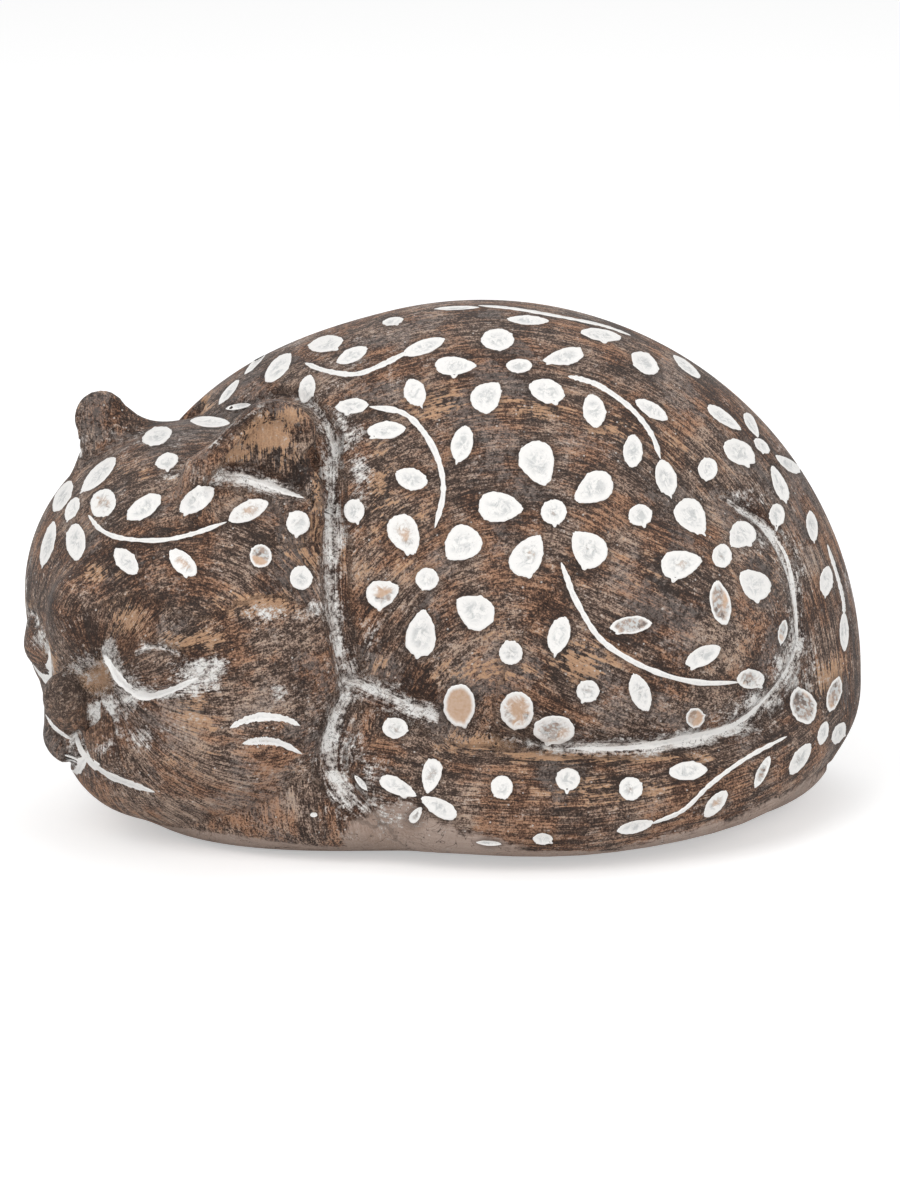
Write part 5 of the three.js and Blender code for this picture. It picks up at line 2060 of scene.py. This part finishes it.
def seen_directly(tree):
    """One where the eye, a reflection or a clear body looks at it, and nought for its light."""
    rays = add_node(tree, "ShaderNodeLightPath").outputs
    eye, gloss = Field(tree, rays["Is Camera Ray"]), Field(tree, rays["Is Glossy Ray"])
    clear = Field(tree, rays["Is Transmission Ray"])
    return calc("MAXIMUM", calc("MAXIMUM", eye, gloss), clear)


class CAT_OT_stage(bpy.types.Operator):
    """Add the floor, the soft lights and the camera"""

    bl_idname = "cat.stage"
    bl_label = "Stage"

    def execute(self, context):
        stage = context.scene.cat_stage
        scene = context.scene
        scene.view_settings.view_transform = "Standard"

        world = bpy.data.worlds.new("surround")
        tree = cleared(world)
        limits = {"Value": seen_directly(tree), "To Min": stage.surround}
        strength = field(tree, "ShaderNodeMapRange", "Result", limits)
        light = {"Color": WHITE, "Strength": strength}
        ground = field(tree, "ShaderNodeBackground", "Background", light)
        add_node(tree, "ShaderNodeOutputWorld", {"Surface": ground})
        scene.world = world

        deselect()
        bpy.ops.mesh.primitive_plane_add(size=FLOOR_SIZE)
        floor = context.active_object
        floor.name = "floor"
        material = bpy.data.materials.new("white floor")
        tree = cleared(material)
        paint = field(tree, "ShaderNodeBsdfDiffuse", "BSDF", {"Color": FLOOR_TONE})
        glow = {"Color": WHITE}
        glow["Strength"] = field(tree, "ShaderNodeLightPath", "Is Camera Ray") * FLOOR_GLOW
        glow = field(tree, "ShaderNodeEmission", "Emission", glow)
        both = field(tree, "ShaderNodeAddShader", "Shader", {0: paint, 1: glow})
        add_node(tree, "ShaderNodeOutputMaterial", {"Surface": both})
        give(floor, material)

        for name, (place, size, power) in LAMPS.items():
            add_lamp(name, place, size, getattr(stage, power))

        camera = bpy.data.cameras.new("camera")
        camera.lens = stage.lens
        camera.sensor_width = 36
        camera.sensor_fit = "AUTO"
        camera.clip_start = 0.01
        camera = bpy.data.objects.new("camera", camera)
        scene.camera = faced(camera, FRONT.eye * MM, -FRONT.back)
        return {"FINISHED"}


OPERATORS = (
    CAT_OT_body,
    CAT_OT_flowers,
    CAT_OT_leaves,
    CAT_OT_dots,
    CAT_OT_stems,
    CAT_OT_face,
    CAT_OT_base,
    CAT_OT_felt,
    CAT_OT_stage,
)


class CAT_PT_pieces(bpy.types.Panel):
    """The figurine's pieces, sizes and colours"""

    bl_idname = "CAT_PT_pieces"
    bl_label = "Curled cat"
    bl_space_type = "VIEW_3D"
    bl_region_type = "UI"
    bl_category = "Cat"

    def draw(self, context):
        column = self.layout.column()
        for operator in OPERATORS:
            column.operator(operator.bl_idname)
        for group in (context.scene.cat_sizes, context.scene.cat_colours, context.scene.cat_stage):
            box = self.layout.box()
            for name in group.bl_rna.properties.keys():
                if name not in {"rna_type", "name"}:
                    box.prop(group, name)


GROUPS = {"cat_sizes": CatSizes, "cat_colours": CatColours, "cat_stage": CatStage}


def register():
    for cls in (*GROUPS.values(), *OPERATORS, CAT_PT_pieces):
        bpy.utils.register_class(cls)
    for name, group in GROUPS.items():
        setattr(bpy.types.Scene, name, PointerProperty(type=group))


def unregister():
    for name in GROUPS:
        delattr(bpy.types.Scene, name)
    for cls in (*GROUPS.values(), *OPERATORS, CAT_PT_pieces):
        bpy.utils.unregister_class(cls)


def main():
    register()
    bpy.ops.cat.body()
    bpy.ops.cat.flowers()
    bpy.ops.cat.leaves()
    bpy.ops.cat.dots()
    bpy.ops.cat.stems()
    bpy.ops.cat.face()
    bpy.ops.cat.base()
    bpy.ops.cat.felt()
    bpy.ops.cat.stage()


if __name__ == "__main__":
    main()
